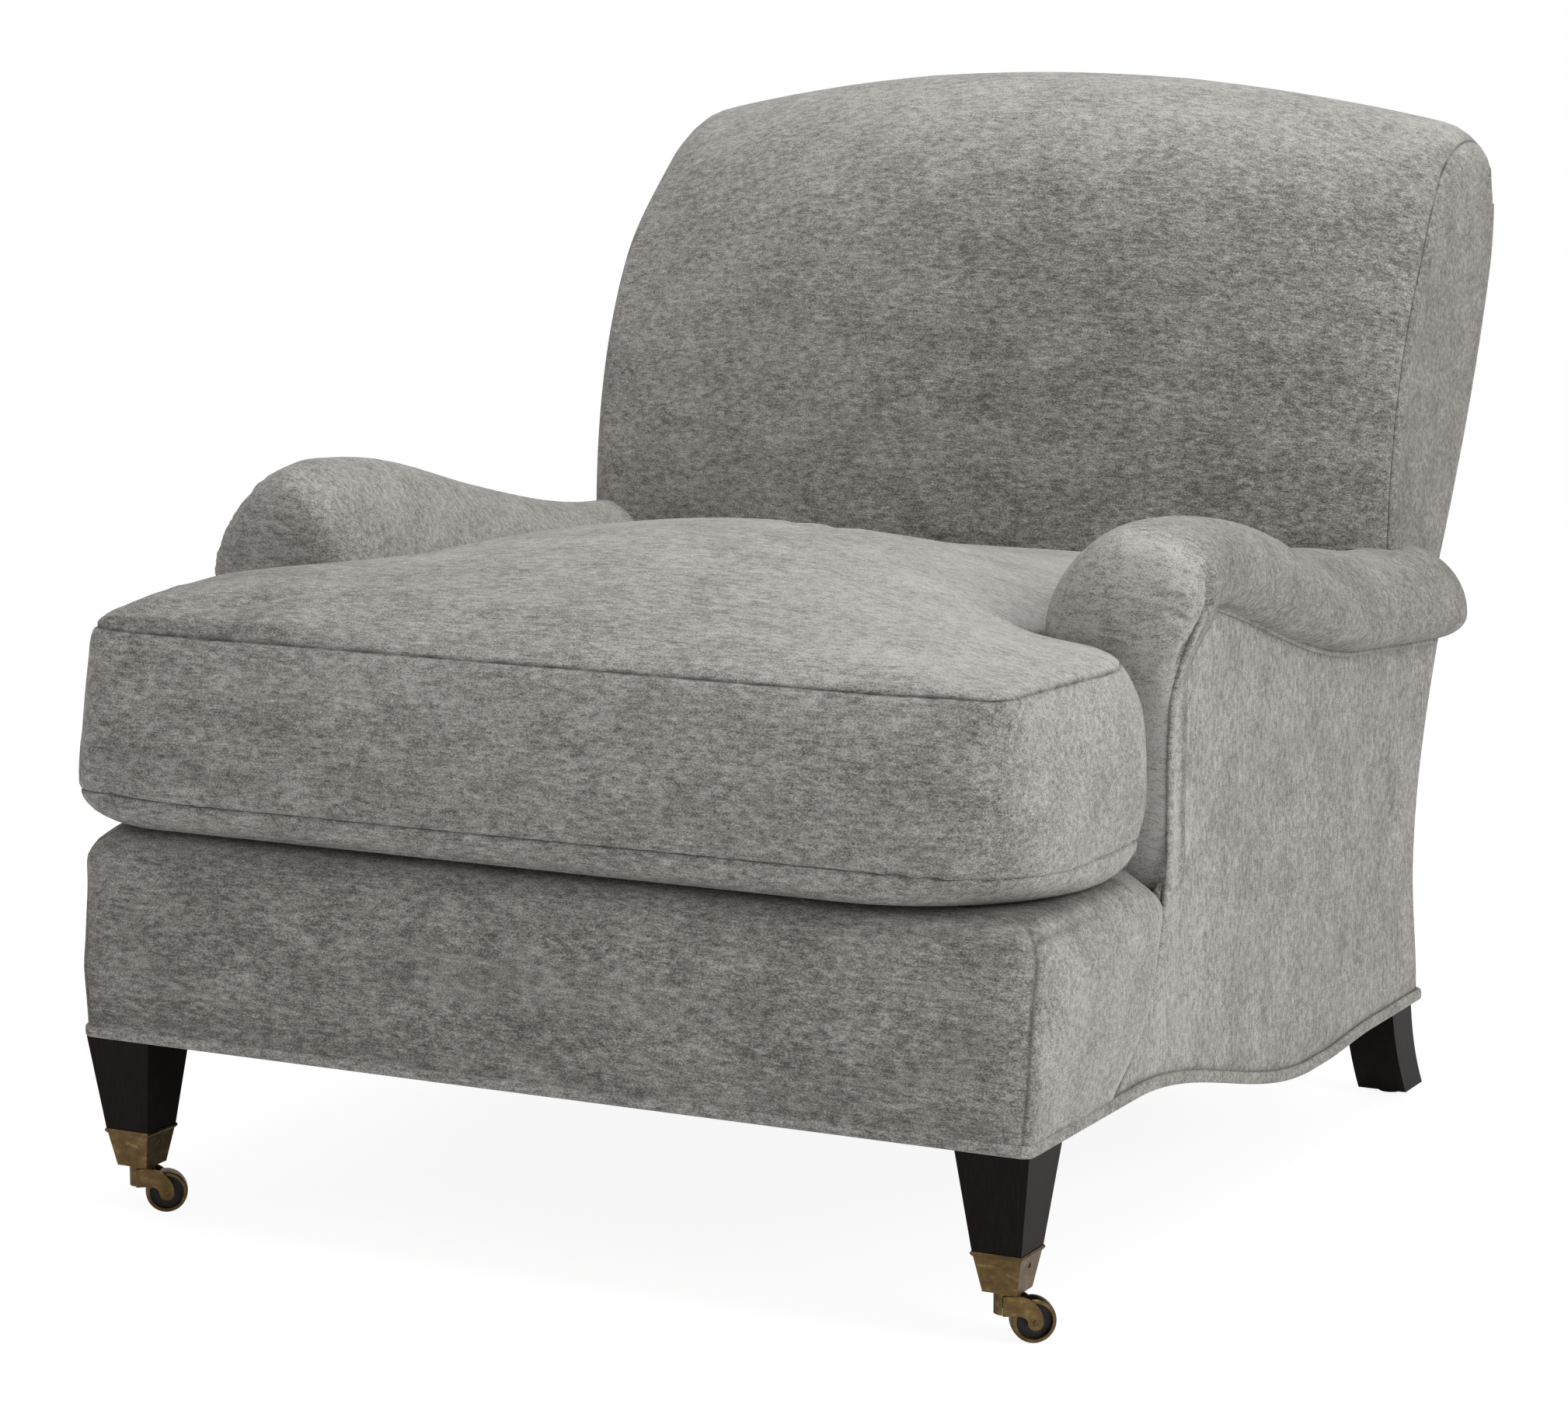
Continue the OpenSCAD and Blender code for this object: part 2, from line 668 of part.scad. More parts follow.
// Cross-section of the roll, drawn about its middle and shrunk by k near its ends
function roll_ring(side, y, k) = let (
    zb = y < stump_y ? knob_base + 0.9 * max(0, arm_y - y) : roll_base(y), zt = roll_crest(y), zc = zb + 22,
    inner = [for (a = [180:-12:96]) [-roll_half * pow(-cos(a), 1.3), zt - zc - shoulder_h * (1 - pow(sin(a), 1.3))]],
    top = [for (a = [84:-12:0]) [roll_half * cos(a), (zt - zc) * sin(a)]],
    under = [for (b = [22.5:22.5:90]) [panel_x + 1 - roll_x + roll_over * cos(b), -22 * sin(b)]],
    ring = concat(inner, top, under, [[arm_inner_x - seat_gap - roll_x, -22]]))
  [for (p = ring) [side * (roll_x + k * p[0]), y, zc + (p[1] < 0 ? p[1] : k * p[1])]];

knob_y = arm_y - knob_out;
roll_end_ks = [0.97, 0.91, 0.8];
roll_ys = concat([[knob_y, 0.6], [knob_y + 3, 0.76], [knob_y + 9, 0.88], [knob_y + 18, 0.95], [stump_y - 0.6, 0.99], [stump_y, 0.99]],
  [for (y = roll_mid_ys) [y, 1]],
  [for (i = [0:2]) [roll_end_ys[i], roll_end_ks[i]]]);

module arm_roll(side) {
  rings = [for (r = roll_ys) roll_ring(side, r[0], r[1])];
  color(velvet)
  difference() {
    loft(side > 0 ? [for (r = rings) turned(r)] : rings);
    back_room();
  }
}

// The space that the backrest takes up, which both arms are cut to
module back_room() {
  translate([0, -seat_gap, 0]) back_form();
  block(-back_half - seat_gap, back_half + seat_gap, back_y + 8, roll_end + 20, pad_z, back_top_z);
}

module inside_arm(side) {
  color(velvet)
  difference() {
    slab_side(side, arm_inner_x, arm_inner_x + arm_pad_t)
    polygon(concat([[stump_y, deck_z], [back_y + 4, deck_z]], turned(under_roll(stump_y, back_y + 4, seat_gap))));
    back_room();
  }
}

module arm_front(side) {
  x0 = side > 0 ? arm_inner_x : -panel_x;
  color(velvet)
  block(x0, x0 + panel_x - arm_inner_x, arm_y, stump_y - seat_gap, pad_z, knob_base - seat_gap);
}

module outside_arm(side) {
  z0 = rear_clear + hem_h + seat_gap;
  zs = steps(z0, split_z, 12);
  low = [for (y = steps(arm_y - 96, rear_line(z0), 18)) [y, hem_z(y) + hem_h + seat_gap]];
  color(velvet)
  slab_side(side, frame_x + seat_gap, panel_x)
  polygon(concat(low, [for (z = zs) if (z > z0) [rear_line(z), z]],
    turned(under_roll(arm_y + 45, rear_line(split_z), seat_gap)),
    [[stump_y + seat_gap, roll_base(arm_y) - 20], [stump_y + seat_gap, pad_z - seat_gap]],
    [for (t = steps(1, 0.12, 8)) crease(t) + [seat_gap, 0]]));
}

/* ---------- Back upholstery ---------- */

// Side profile of the backrest's padding: front line, rounded top, rear corner
top_pts = [front_pts[3], [crest_y - 90, back_top_z + 2], [crest_y - 40, back_top_z + 8],
  [crest_y - 8, back_top_z - 14]];
back_front = concat([[back_y, pad_z], [back_y, deck_z], [back_y, 360]], [for (t = steps(0, 1, 9)) bez(front_pts, t)]);
back_roof = concat([for (t = steps(0.15, 1, 7)) bez(top_pts, t)],
  [[crest_y + 1, back_top_z - 30], [crest_y, post_top]]);
back_rear = [for (z = steps(post_top - 20, rear_z0 + 100, 4)) [rear_line(z), z]];
back_profile = concat(back_front, back_roof, back_rear, [[rear_line(pad_z), pad_z]]);

// The middle of the backrest stands forward of that profile and rises above it
function bulge(p, u) = let (
    f = 1 - pow(abs(u), 2.4), g = 1 - u * u,
    low = smooth((p[1] - deck_z) / 160),
    front = 1 - smooth((p[0] - back_y - (p[1] > 560 ? (p[1] - 560) * 0.75 : 0)) / 150),
    rise = smooth((p[1] - 540) / (post_top - 540)))
  [p[0] - back_crown * f * front * low, p[1] + crest_rise * g * rise];

// Near its ends the profile draws in a little, which rounds the corners
back_us = [-1, -0.985, -0.94, -0.86, -0.72, -0.54, -0.34, -0.12, 0.12, 0.34, 0.54, 0.72, 0.86, 0.94, 0.985, 1];
back_mid = [crest_y - 130, 560];
function tuck(u) = abs(u) > 0.99 ? 0.972 : (abs(u) > 0.95 ? 0.992 : 1);
module back_form() {
  loft([for (u = back_us) [for (q = back_profile) let (p = bulge(q, u), k = tuck(u),
    r = [back_mid[0] + k * (p[0] - back_mid[0]), p[1] > 480 ? back_mid[1] + k * (p[1] - back_mid[1]) : p[1]])
    [u * back_half, r[0], r[1]]]]);
}

// The pad lies in front of the posts and over the top rail
module back_pad() {
  zs = concat([pad_z - 1], post_zs);
  color(velvet)
  difference() {
    back_form();
    slab_x(-back_half - 5, back_half + 5)
    polygon(concat([for (z = zs) [post_front(z) - strap_t - seat_gap, z]],
      [[post_front(post_top) - strap_t - seat_gap, post_top + seat_gap], [crest_y + 80, post_top + seat_gap],
      [crest_y + 80, pad_z - 1]]));
    for (s = sides) arm_rail_bar(s, back_y, seat_gap);
  }
}

split_z = roll_base(rear_y) - 10;
module back_side(side) {
  zs = steps(split_z + seat_gap, post_top, 20);
  color(velvet)
  slab_side(side, post_x, back_half)
  polygon(concat([for (z = zs) [post_front(z), z]], [for (z = turned(zs)) [rear_line(z), z]]));
}

// Rear cover: wide between the arm panels, narrower behind the backrest
module outside_back() {
  low = steps(rear_clear + hem_h + seat_gap, split_z, 8);
  high = steps(split_z, post_top - 0.3, 16);
  color(velvet)
  union() {
    slab_x(-frame_x, frame_x)
    polygon(concat([for (z = low) [rear_line(z) - skin_t + seat_gap, z]], [for (z = turned(low)) [rear_line(z), z]]));
    slab_x(-post_x + seat_gap, post_x - seat_gap)
    polygon(concat([for (z = high) [rear_line(z) - skin_t + seat_gap, z]], [for (z = turned(high)) [rear_line(z), z]]));
  }
}

/* ---------- Seat cushion ---------- */

ear_y = arm_y - 8;
cushion_y1 = back_y - back_crown - 6;
cushion_mid = (cushion_y + cushion_y1) / 2;
ear_mid = (cushion_y + ear_y) / 2;
body_half = arm_inner_x - roll_in - cushion_bulge - 1;
seam_y = cushion_y + cushion_bulge;

front_r = 24;        // corner radii of the cushion's plan
belly_r = 96;        // the front corners are drawn in to this below
ear_r = 56;
notch_r = 8;

function arc(cx, cy, r, a0, a1, n) = [for (i = [0:n]) let (a = a0 + (a1 - a0) * i / n)
  [cx + r * cos(a), cy + r * sin(a)]];
function drawn_to(list, m) = [for (p = list) [p[0], p[1], m]];
// Right half of the T-shaped outline, grown outwards by g; each point's third value is the
// depth that it is drawn towards as the rings of the crown get smaller
function t_half(g, r) = let (w = ear_half + g, b = body_half + g, f = seam_y - g, e = ear_y + g, k = cushion_y1 + g)
  concat([for (s = [0.2, 0.45, 0.7]) [s * (w - 0.3 * r), f, cushion_mid]],
    drawn_to(arc(w - r, f + r, r, -90, 0, 4), (cushion_mid + ear_mid) / 2),
    drawn_to(arc(w - ear_r, e - ear_r, ear_r, 0, 90, 5), ear_mid),
    drawn_to(arc(b + notch_r, e + notch_r, notch_r, -90, -180, 2), ear_mid),
    [[b, (e + k) / 2, cushion_mid]],
    drawn_to(arc(b - 30, k - 30, 30, 0, 90, 3), cushion_mid),
    [[0.6 * b, k, cushion_mid], [0.25 * b, k, cushion_mid]]);
function t_outline(g, r) = let (h = t_half(g, r)) concat(h, [for (p = turned(h)) [-p[0], p[1], p[2]]]);
function t_ring(s, g, z, r) = [for (p = t_outline(g, r)) let (m = s > 0.6 ? p[2] : cushion_mid)
  [s * p[0], m + s * (p[1] - m), z]];

seam_low = cushion_z + 27;
seam_high = seam_low + boxing_h;
// Plan scale, growth and height of each ring, from the belly over the boxing to the crown
belly_rings = [[0.1, 0, 0], [0.7, -4, 0], [0.94, -4, 0.03], [1, -12, 0.16], [1, -4, 0.5]];
crown_rings = [[1, -6, 0.05], [0.94, -4, 0.15], [0.84, 0, 0.32], [0.68, 0, 0.6], [0.48, 0, 0.83], [0.26, 0, 0.96], [0.06, 0, 1]];
band_rings = [[0, 0], [0.6, 0.2], [1, 0.5], [0.6, 0.8], [0, 1]];
module seat_cushion() {
  color(velvet)
  difference() {
    loft(concat([for (r = belly_rings) t_ring(r[0], r[1], cushion_z + r[2] * (seam_low - cushion_z), belly_r)],
      [for (r = band_rings) t_ring(1, r[0] * cushion_bulge, seam_low + r[1] * boxing_h,
        front_r + (belly_r - front_r) * pow(1 - r[1], 1.5))],
      [for (r = crown_rings) t_ring(r[0], r[1], seam_high + r[2] * crown_h, front_r)]));
    core_block(seat_gap);
    zip_strip(seat_gap);
  }
}

// The zip runs across the middle of the rear boxing
zip_half = 190;
zip_h = 14;
module zip_strip(g) {
  block(-zip_half - g, zip_half + g, cushion_y1 - core_in + seat_gap, cushion_y1 + cushion_bulge + (g > 0 ? 5 : -0.8),
    seam_low + (boxing_h - zip_h) / 2 - g, seam_low + (boxing_h + zip_h) / 2 + g);
}

module cushion_zip() {
  color([0.45, 0.44, 0.43]) zip_strip(0);
}

core_in = 18;
module core_block(g) {
  translate([0, 0, seam_low - g])
  linear_extrude(boxing_h + 2 * g)
  polygon([for (p = t_outline(-core_in + g, belly_r)) [p[0], p[1]]]);
}

module cushion_core() {
  color([0.9, 0.86, 0.7]) core_block(0);
}

front_rail();
rear_rail();
side_rail(left);  // side_rail_left
side_rail(right);  // side_rail_right
front_post(left);  // front_post_left
front_post(right);  // front_post_right
rear_leg(left);  // rear_leg_left
rear_leg(right);  // rear_leg_right
front_leg(left);  // front_leg_left
front_leg(right);  // front_leg_right
back_post(left);  // back_post_left
back_post(right);  // back_post_right
back_top_rail();
back_lower_rail();
arm_post(left);  // arm_post_left
arm_post(right);  // arm_post_right
arm_rail(left);  // arm_rail_left
arm_rail(right);  // arm_rail_right
corner_braces();
seat_springs();
spring_clips();
back_webbing();
leg_bolts();
rear_glides();
caster_socket(left);  // caster_socket_left
caster_socket(right);  // caster_socket_right
socket_screws();
caster_pivot(left);  // caster_pivot_left
caster_pivot(right);  // caster_pivot_right
caster_horn(left);  // caster_horn_left
caster_horn(right);  // caster_horn_right
caster_axle(left);  // caster_axle_left
caster_axle(right);  // caster_axle_right
caster_rim(left);  // caster_rim_left
caster_rim(right);  // caster_rim_right
caster_core(left);  // caster_core_left
caster_core(right);  // caster_core_right
front_border();
border_side(left);  // border_side_left
border_side(right);  // border_side_right
ledge_pad();
deck_pad();
arm_roll(left);  // arm_roll_left
arm_roll(right);  // arm_roll_right
inside_arm(left);  // inside_arm_left
inside_arm(right);  // inside_arm_right
arm_front(left);  // arm_front_left
arm_front(right);  // arm_front_right
outside_arm(left);  // outside_arm_left
outside_arm(right);  // outside_arm_right
back_pad();
back_side(left);  // back_side_left
back_side(right);  // back_side_right
outside_back();
base_hem();
dust_cover();
seat_cushion();
cushion_core();
cushion_zip();
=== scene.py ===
import bpy, bmesh, json, math
import numpy as np
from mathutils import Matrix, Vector
from mathutils.kdtree import KDTree


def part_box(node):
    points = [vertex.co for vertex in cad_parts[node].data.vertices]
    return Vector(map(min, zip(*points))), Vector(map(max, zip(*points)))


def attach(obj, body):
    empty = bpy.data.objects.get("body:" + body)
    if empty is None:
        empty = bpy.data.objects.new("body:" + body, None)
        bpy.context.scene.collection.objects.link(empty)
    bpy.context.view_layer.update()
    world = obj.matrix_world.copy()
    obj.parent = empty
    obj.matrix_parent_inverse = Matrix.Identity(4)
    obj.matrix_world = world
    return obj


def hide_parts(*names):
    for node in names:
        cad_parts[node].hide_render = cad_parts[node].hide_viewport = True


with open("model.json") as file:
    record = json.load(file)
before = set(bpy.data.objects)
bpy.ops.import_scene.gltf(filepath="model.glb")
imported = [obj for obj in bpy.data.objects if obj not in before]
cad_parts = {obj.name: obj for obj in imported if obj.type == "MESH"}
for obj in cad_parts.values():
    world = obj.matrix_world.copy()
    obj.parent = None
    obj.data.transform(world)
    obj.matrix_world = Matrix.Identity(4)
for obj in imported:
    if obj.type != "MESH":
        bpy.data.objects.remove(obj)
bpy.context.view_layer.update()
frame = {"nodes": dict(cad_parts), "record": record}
mm = 0.001


def say(text):
    print("scene:", text)


def corners(node):
    low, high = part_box(node)
    return np.array(low) / mm, np.array(high) / mm


def smooth(t):
    t = np.clip(t, 0, 1)
    return t * t * (3 - 2 * t)


def hump(x, middle, width):
    return np.exp(-((x - middle) / width) ** 2)


def bez(p, t):
    p = np.array(p, float)
    t = np.asarray(t, float)[..., None]
    return (1 - t) ** 3 * p[0] + 3 * (1 - t) ** 2 * t * p[1] + 3 * (1 - t) * t * t * p[2] + t ** 3 * p[3]


def ripple(x, seed, wavelength):
    # Smooth noise along one direction, between about -1 and 1
    rng = np.random.default_rng(seed)
    total = np.zeros_like(np.asarray(x, float))
    for _ in range(7):
        total += np.sin(x * 2 * math.pi / (wavelength * rng.uniform(0.6, 1.7)) + rng.uniform(0, 6.28))
    return total / 3.2


# Stations in millimetres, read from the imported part

cushionLow, cushionHigh = corners("seat_cushion")
borderLow = corners("front_border")[0]
ledgeLow, ledgeHigh = corners("ledge_pad")
rollLow, rollHigh = corners("arm_roll_right")
insideLow, insideHigh = corners("inside_arm_right")
hemLow, hemHigh = corners("base_hem")
backHalf, crestY, crestZ = corners("back_pad")[1]  # half width, rear and top of the backrest

weltHeight = 11.3  # from the front cover's lower edge down to the hem's
bodyLift = 4  # the covers end this far above the hem's lower edge
armFall = 75  # from the knob's top down to the roll's rear end
rearIn = 15  # the seat's rear lies this far in front of the hem's

armY = corners("arm_front_right")[0][1]
borderY = borderLow[1]
backY = insideHigh[1] - 4
rearY = hemHigh[1]
panelX = corners("outside_arm_right")[1][0]
armInnerX = insideLow[0]
deckZ = ledgeHigh[2]
padZ = ledgeLow[2]
frontClear = borderLow[2] - weltHeight
rearClear = hemLow[2] + bodyLift
armTop = rollHigh[2]
armLow = armTop - armFall


# Long curves seen from the side; starts are measured from the arms' front towards the rear
curves = {"dipStart": -58, "dipLength": 360, "riseStart": 332, "riseLength": 100, "seamDrop": 55,
          "seamFall": 0.75, "seamLength": 375, "seamSlope": 0.6, "slopeStart": 32, "slopeLength": 538,
          "crestStart": 30, "crestLength": 490}


def hemZ(y):
    # The lower edge dips in an S behind the front leg and rises a little to the rear leg
    c = curves
    dip = rearClear - bodyLift
    return (frontClear - (frontClear - dip) * smooth((y - armY - c["dipStart"]) / c["dipLength"])
            + (rearClear - dip) * smooth((y - armY - c["riseStart"]) / c["riseLength"]))


def rollBase(y):
    # The seam under the arm's roll
    c = curves
    bend = c["seamFall"] * smooth((y - armY) / c["seamLength"])
    slope = c["seamSlope"] * (y - armY - c["slopeStart"]) / c["slopeLength"]
    return armTop - c["seamDrop"] - (armTop - armLow) * (bend + slope)


def rollCrest(y):
    return armTop - (armTop - armLow) * smooth((y - armY - curves["crestStart"]) / curves["crestLength"])


seatRearZ = 200  # below this the rear runs upright down to its foot
rearPts = [[rearY - rearIn, seatRearZ], [rearY - rearIn, 345], [crestY - 117, 452], [crestY, crestZ - 91.5]]
rearCurve = bez(rearPts, np.linspace(0, 1, 200))


def rearLine(z):
    z = np.asarray(z, float)
    low = rearY - rearIn * (1 - smooth((seatRearZ - z) / 110))
    return np.where(z <= seatRearZ, low, np.interp(z, rearCurve[:, 1], rearCurve[:, 0]))


# Materials

def colour(text):
    values = [int(text[i:i + 2], 16) / 255 for i in (1, 3, 5)]
    return tuple(v / 12.92 if v <= 0.04045 else ((v + 0.055) / 1.055) ** 2.4 for v in values) + (1.0,)


def addNode(tree, kind, inputs=None, stops=(), **settings):
    # Each input is a value or another node's output; stops are a ramp's places and colours
    node = tree.nodes.new(kind)
    for key, value in settings.items():
        setattr(node, key, value)
    for _ in stops[2:]:
        node.color_ramp.elements.new(0.5)
    for k, (place, text) in enumerate(stops):
        node.color_ramp.elements[k].position = place
        node.color_ramp.elements[k].color = colour(text)
    setInputs(tree, node, inputs or {})
    return node


def setInputs(tree, node, inputs):
    for socket, value in inputs.items():
        if isinstance(value, bpy.types.NodeSocket):
            tree.links.new(value, node.inputs[socket])
        else:
            node.inputs[socket].default_value = value


def startMaterial(name):
    material = bpy.data.materials.new(name)
    material.use_nodes = True
    return material, material.node_tree, material.node_tree.nodes["Principled BSDF"]


def patterns(tree, *recipes):
    # Noise on the object's own place; a recipe is a size in millimetres along X, Y and Z, detail, roughness
    place = addNode(tree, "ShaderNodeTexCoord").outputs["Object"]
    fields = []
    for size, detail, roughness in recipes:
        perMetre = [1000 / s for s in size]
        scaled = addNode(tree, "ShaderNodeMapping", {"Vector": place, "Scale": perMetre})
        noise = addNode(tree, "ShaderNodeTexNoise", {"Vector": scaled.outputs[0], "Scale": 1, "Detail": detail,
                                                     "Roughness": roughness})
        fields.append(noise.outputs["Fac"])
    return fields


# Heather chenille velvet: a short dense pile of light and dark yarns. It gives the eye a soft matt cloth with
# short streaks along the nap and a faint light rim. Its yarns are about 0.4 mm apart, too fine to show, so the
# rows are drawn at 1.6 mm, the pile's fuzz at 0.85 by 1.5 mm and the streaks of mixed yarn at 4 by 9 mm

velvetLook = {"dark": "#5f5d59", "middle": "#97948f", "light": "#c6c4c0", "seam": "#3a3836", "rim": "#e6e3de",
              "streak": 9.0, "thickness": 4.2, "cloud": 34.0, "cloudLength": 1.6, "fuzz": 0.85,
              "fuzzLength": 1.8, "rows": 1.6, "rowLength": 1.5, "shares": (0.36, 0.14, 0.52, 0.16),
              "places": (0.46, 0.59, 0.73), "relief": 1.1, "reliefStrength": 0.8, "streakRelief": 0.9,
              "sheen": 0.3, "sheenRoughness": 0.4, "roughness": 0.92, "specular": 0.2}


def makeVelvet(name, along, look):
    # along is the direction of the nap
    material, tree, shader = startMaterial(name)

    def stretched(longSize, thinSize):
        return [longSize if axis == along else thinSize for axis in "xyz"]

    def join(operation, a, b):
        return addNode(tree, "ShaderNodeMath", {0: a, 1: b}, operation=operation).outputs[0]

    fields = patterns(tree, (stretched(look["streak"], look["thickness"]), 4, 0.6),
                      (stretched(look["cloud"] * look["cloudLength"], look["cloud"]), 2, 0.5),
                      (stretched(look["fuzz"] * look["fuzzLength"], look["fuzz"]), 2, 0.6),
                      (stretched(look["streak"] * look["rowLength"], look["rows"]), 1, 0.5))
    streaks, fuzz = fields[0], fields[2]
    mix = 0.0
    for field, share in zip(fields, look["shares"]):
        mix = join("ADD", mix, join("MULTIPLY", field, share))
    # Painted light and shade: each piece's step, stored on its points, lightens or darkens the pile's colour
    mix = join("ADD", mix, addNode(tree, "ShaderNodeAttribute", attribute_name="paintedShading").outputs["Fac"])
    stops = list(zip(look["places"], (look["dark"], look["middle"], look["light"])))
    pile = addNode(tree, "ShaderNodeValToRGB", {0: mix}, stops)
    seam = addNode(tree, "ShaderNodeAttribute", attribute_name="seam")
    factor, pileInput, seamInput = 0, 6, 7  # the mix node's sockets for colours
    shade = addNode(tree, "ShaderNodeMix", {factor: seam.outputs["Fac"], pileInput: pile.outputs[0],
                                            seamInput: colour(look["seam"])}, data_type="RGBA", blend_type="MIX")
    height = join("ADD", fuzz, join("MULTIPLY", streaks, look["streakRelief"]))
    relief = addNode(tree, "ShaderNodeBump", {"Height": height, "Distance": look["relief"] * mm,
                                              "Strength": look["reliefStrength"]})
    setInputs(tree, shader, {"Base Color": shade.outputs[2], "Roughness": look["roughness"],
                             "Specular IOR Level": look["specular"], "Sheen Weight": look["sheen"],
                             "Sheen Roughness": look["sheenRoughness"], "Sheen Tint": colour(look["rim"]),
                             "Normal": relief.outputs[0]})
    return material


def makeFinish(name, stops, size, roughness, relief, metallic=0.0, specular=0.5):
    # size is the grain's in millimetres along X, Y and Z, and relief its height
    material, tree, shader = startMaterial(name)
    grain = patterns(tree, (size, 4, 0.6))[0]
    tone = addNode(tree, "ShaderNodeValToRGB", {0: grain}, stops)
    normal = addNode(tree, "ShaderNodeBump", {"Height": grain, "Distance": relief * mm, "Strength": 1.0})
    setInputs(tree, shader, {"Base Color": tone.outputs[0], "Roughness": roughness, "Metallic": metallic,
                             "Specular IOR Level": specular, "Normal": normal.outputs[0]})
    return material


velvet = makeVelvet("heatherVelvet", "x", velvetLook)
# The same cloth with its nap upright, as on the outside arms and back
velvetPanel = makeVelvet("heatherVelvetUpright", "z", dict(velvetLook, streak=5.5, rows=2.4, fuzzLength=1.3))
# Beech stained espresso under satin lacquer: near-black, with a hint of grain 2 mm wide and a dull shine
espresso = makeFinish("espressoBeech", [(0.3, "#0d0908"), (0.55, "#15100e"), (0.8, "#201613")], (2, 2, 40),
                      0.42, 0.05, specular=0.1)
# Cast brass, darkened and rubbed: a warm dull metal with tarnish in patches of about 9 mm
brass = makeFinish("antiqueBrass", [(0.3, "#5d4b34"), (0.55, "#75603f"), (0.75, "#94805a")], (9, 9, 6),
                   0.3, 0.03, metallic=1.0)
# Moulded resin of the wheels' cores: plain dark and half matt, mottled at 3 mm
darkCore = makeFinish("darkResin", [(0.3, "#151312"), (0.7, "#262220")], (3, 3, 3), 0.5, 0.05)
# Planed bare beech: pale and matt, with flecks of 3 by 60 mm
beech = makeFinish("rawBeech", [(0.3, "#a98559"), (0.55, "#c19d70"), (0.8, "#cfae84")], (3, 60, 3),
                   0.6, 0.1)
# Drawn spring steel: grey and shiny; its draw marks of 0.1 mm are drawn at 2 mm
steel = makeFinish("drawnSteel", [(0.3, "#7e8082"), (0.7, "#a4a6a8")], (2, 2, 2), 0.35, 0.02, metallic=1.0)
# Woven elastic webbing: dark brown and matt, with ribs of 1.2 mm
webbing = makeFinish("elasticWebbing", [(0.35, "#2b2825"), (0.65, "#4a453f")], (1.2, 1.2, 1.2), 0.85, 0.3)
# Bonded dust cloth: flat black fibres; the bonding dots are 0.9 mm apart
dustCloth = makeFinish("dustCloth", [(0.35, "#0e0e0e"), (0.65, "#1c1c1c")], (0.9, 0.9, 0.9), 0.95, 0.2)
# Cut foam: pale yellow and matt; its cells of 0.8 mm are drawn at 2 mm
foam = makeFinish("cushionFoam", [(0.35, "#cbbf9a"), (0.65, "#ddd2b0")], (2, 2, 2), 0.9, 0.3)
# Pressed felt under the rear legs: near-black and matt, mottled at 1 mm
felt = makeFinish("felt", [(0.35, "#1a1918"), (0.65, "#2b2927")], (1, 1, 1), 0.9, 0.2)
say("materials")


# Mesh helpers

def newObject(name, points, faces, merge=False):
    mesh = bpy.data.meshes.new(name)
    mesh.from_pydata([tuple(p) for p in np.asarray(points) * mm], [], faces)
    mesh.validate()
    obj = bpy.data.objects.new(name, mesh)
    bpy.context.scene.collection.objects.link(obj)
    work = bmesh.new()
    work.from_mesh(mesh)
    if merge:
        bmesh.ops.remove_doubles(work, verts=work.verts, dist=0.05 * mm)
    bmesh.ops.recalc_face_normals(work, faces=work.faces)
    work.to_mesh(mesh)
    work.free()
    return obj


def dress(obj, material=velvet, body="frame"):
    obj.data.materials.clear()
    obj.data.materials.append(material)
    obj.data.polygons.foreach_set("use_smooth", [True] * len(obj.data.polygons))
    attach(obj, body)


def makePiece(name, points, faces, seam=None, material=velvet, body="frame"):
    obj = newObject(name, points, faces)
    if seam is not None:
        attribute = obj.data.attributes.new("seam", "FLOAT", "POINT")
        attribute.data.foreach_set("value", np.asarray(seam, np.float32))
    dress(obj, material, body)
    return obj


def gridFaces(m, n, closed=True, looped=False):
    # m rows of n points; closed joins each row's ends, looped joins the last row to the first
    columns = n if closed else n - 1
    rows = m if looped else m - 1
    return [(j * n + i, j * n + (i + 1) % n, (j + 1) % m * n + (i + 1) % n, (j + 1) % m * n + i)
            for j in range(rows) for i in range(columns)]


def ringSolid(rings):
    # Closed solid through rings, with a fan over each end
    m, n = rings.shape[:2]
    points = np.concatenate([rings.reshape(-1, 3), rings[0].mean(0)[None], rings[-1].mean(0)[None]])
    faces = gridFaces(m, n)
    faces += [((i + 1) % n, i, m * n) for i in range(n)]
    faces += [((m - 1) * n + i, (m - 1) * n + (i + 1) % n, m * n + 1) for i in range(n)]
    return points, faces


def tube(name, rings, seam=None, material=velvet):
    if seam is not None:
        seam = np.concatenate([np.asarray(seam).reshape(-1), [0, 0]])
    return makePiece(name, *ringSolid(rings), seam, material)


def gridNormals(rings):
    # Outward normals of a closed grid, whose first ring's start faces the front
    around = np.roll(rings, -1, 1) - np.roll(rings, 1, 1)
    n = np.cross(around, np.gradient(rings, axis=0))
    n = n / (np.linalg.norm(n, axis=2, keepdims=True) + 1e-9)
    return -n if n[len(n) // 3, 3, 1] > 0 else n


def resample(points, count, closed=False):
    p = np.asarray(points, float)
    if closed:
        p = np.concatenate([p, p[:1]])
    step = np.linalg.norm(np.diff(p, axis=0), axis=1)
    s = np.concatenate([[0], np.cumsum(step)])
    t = np.linspace(0, s[-1], count + 1 if closed else count)
    out = np.stack([np.interp(t, s, p[:, k]) for k in range(p.shape[1])], 1)
    return out[:-1] if closed else out


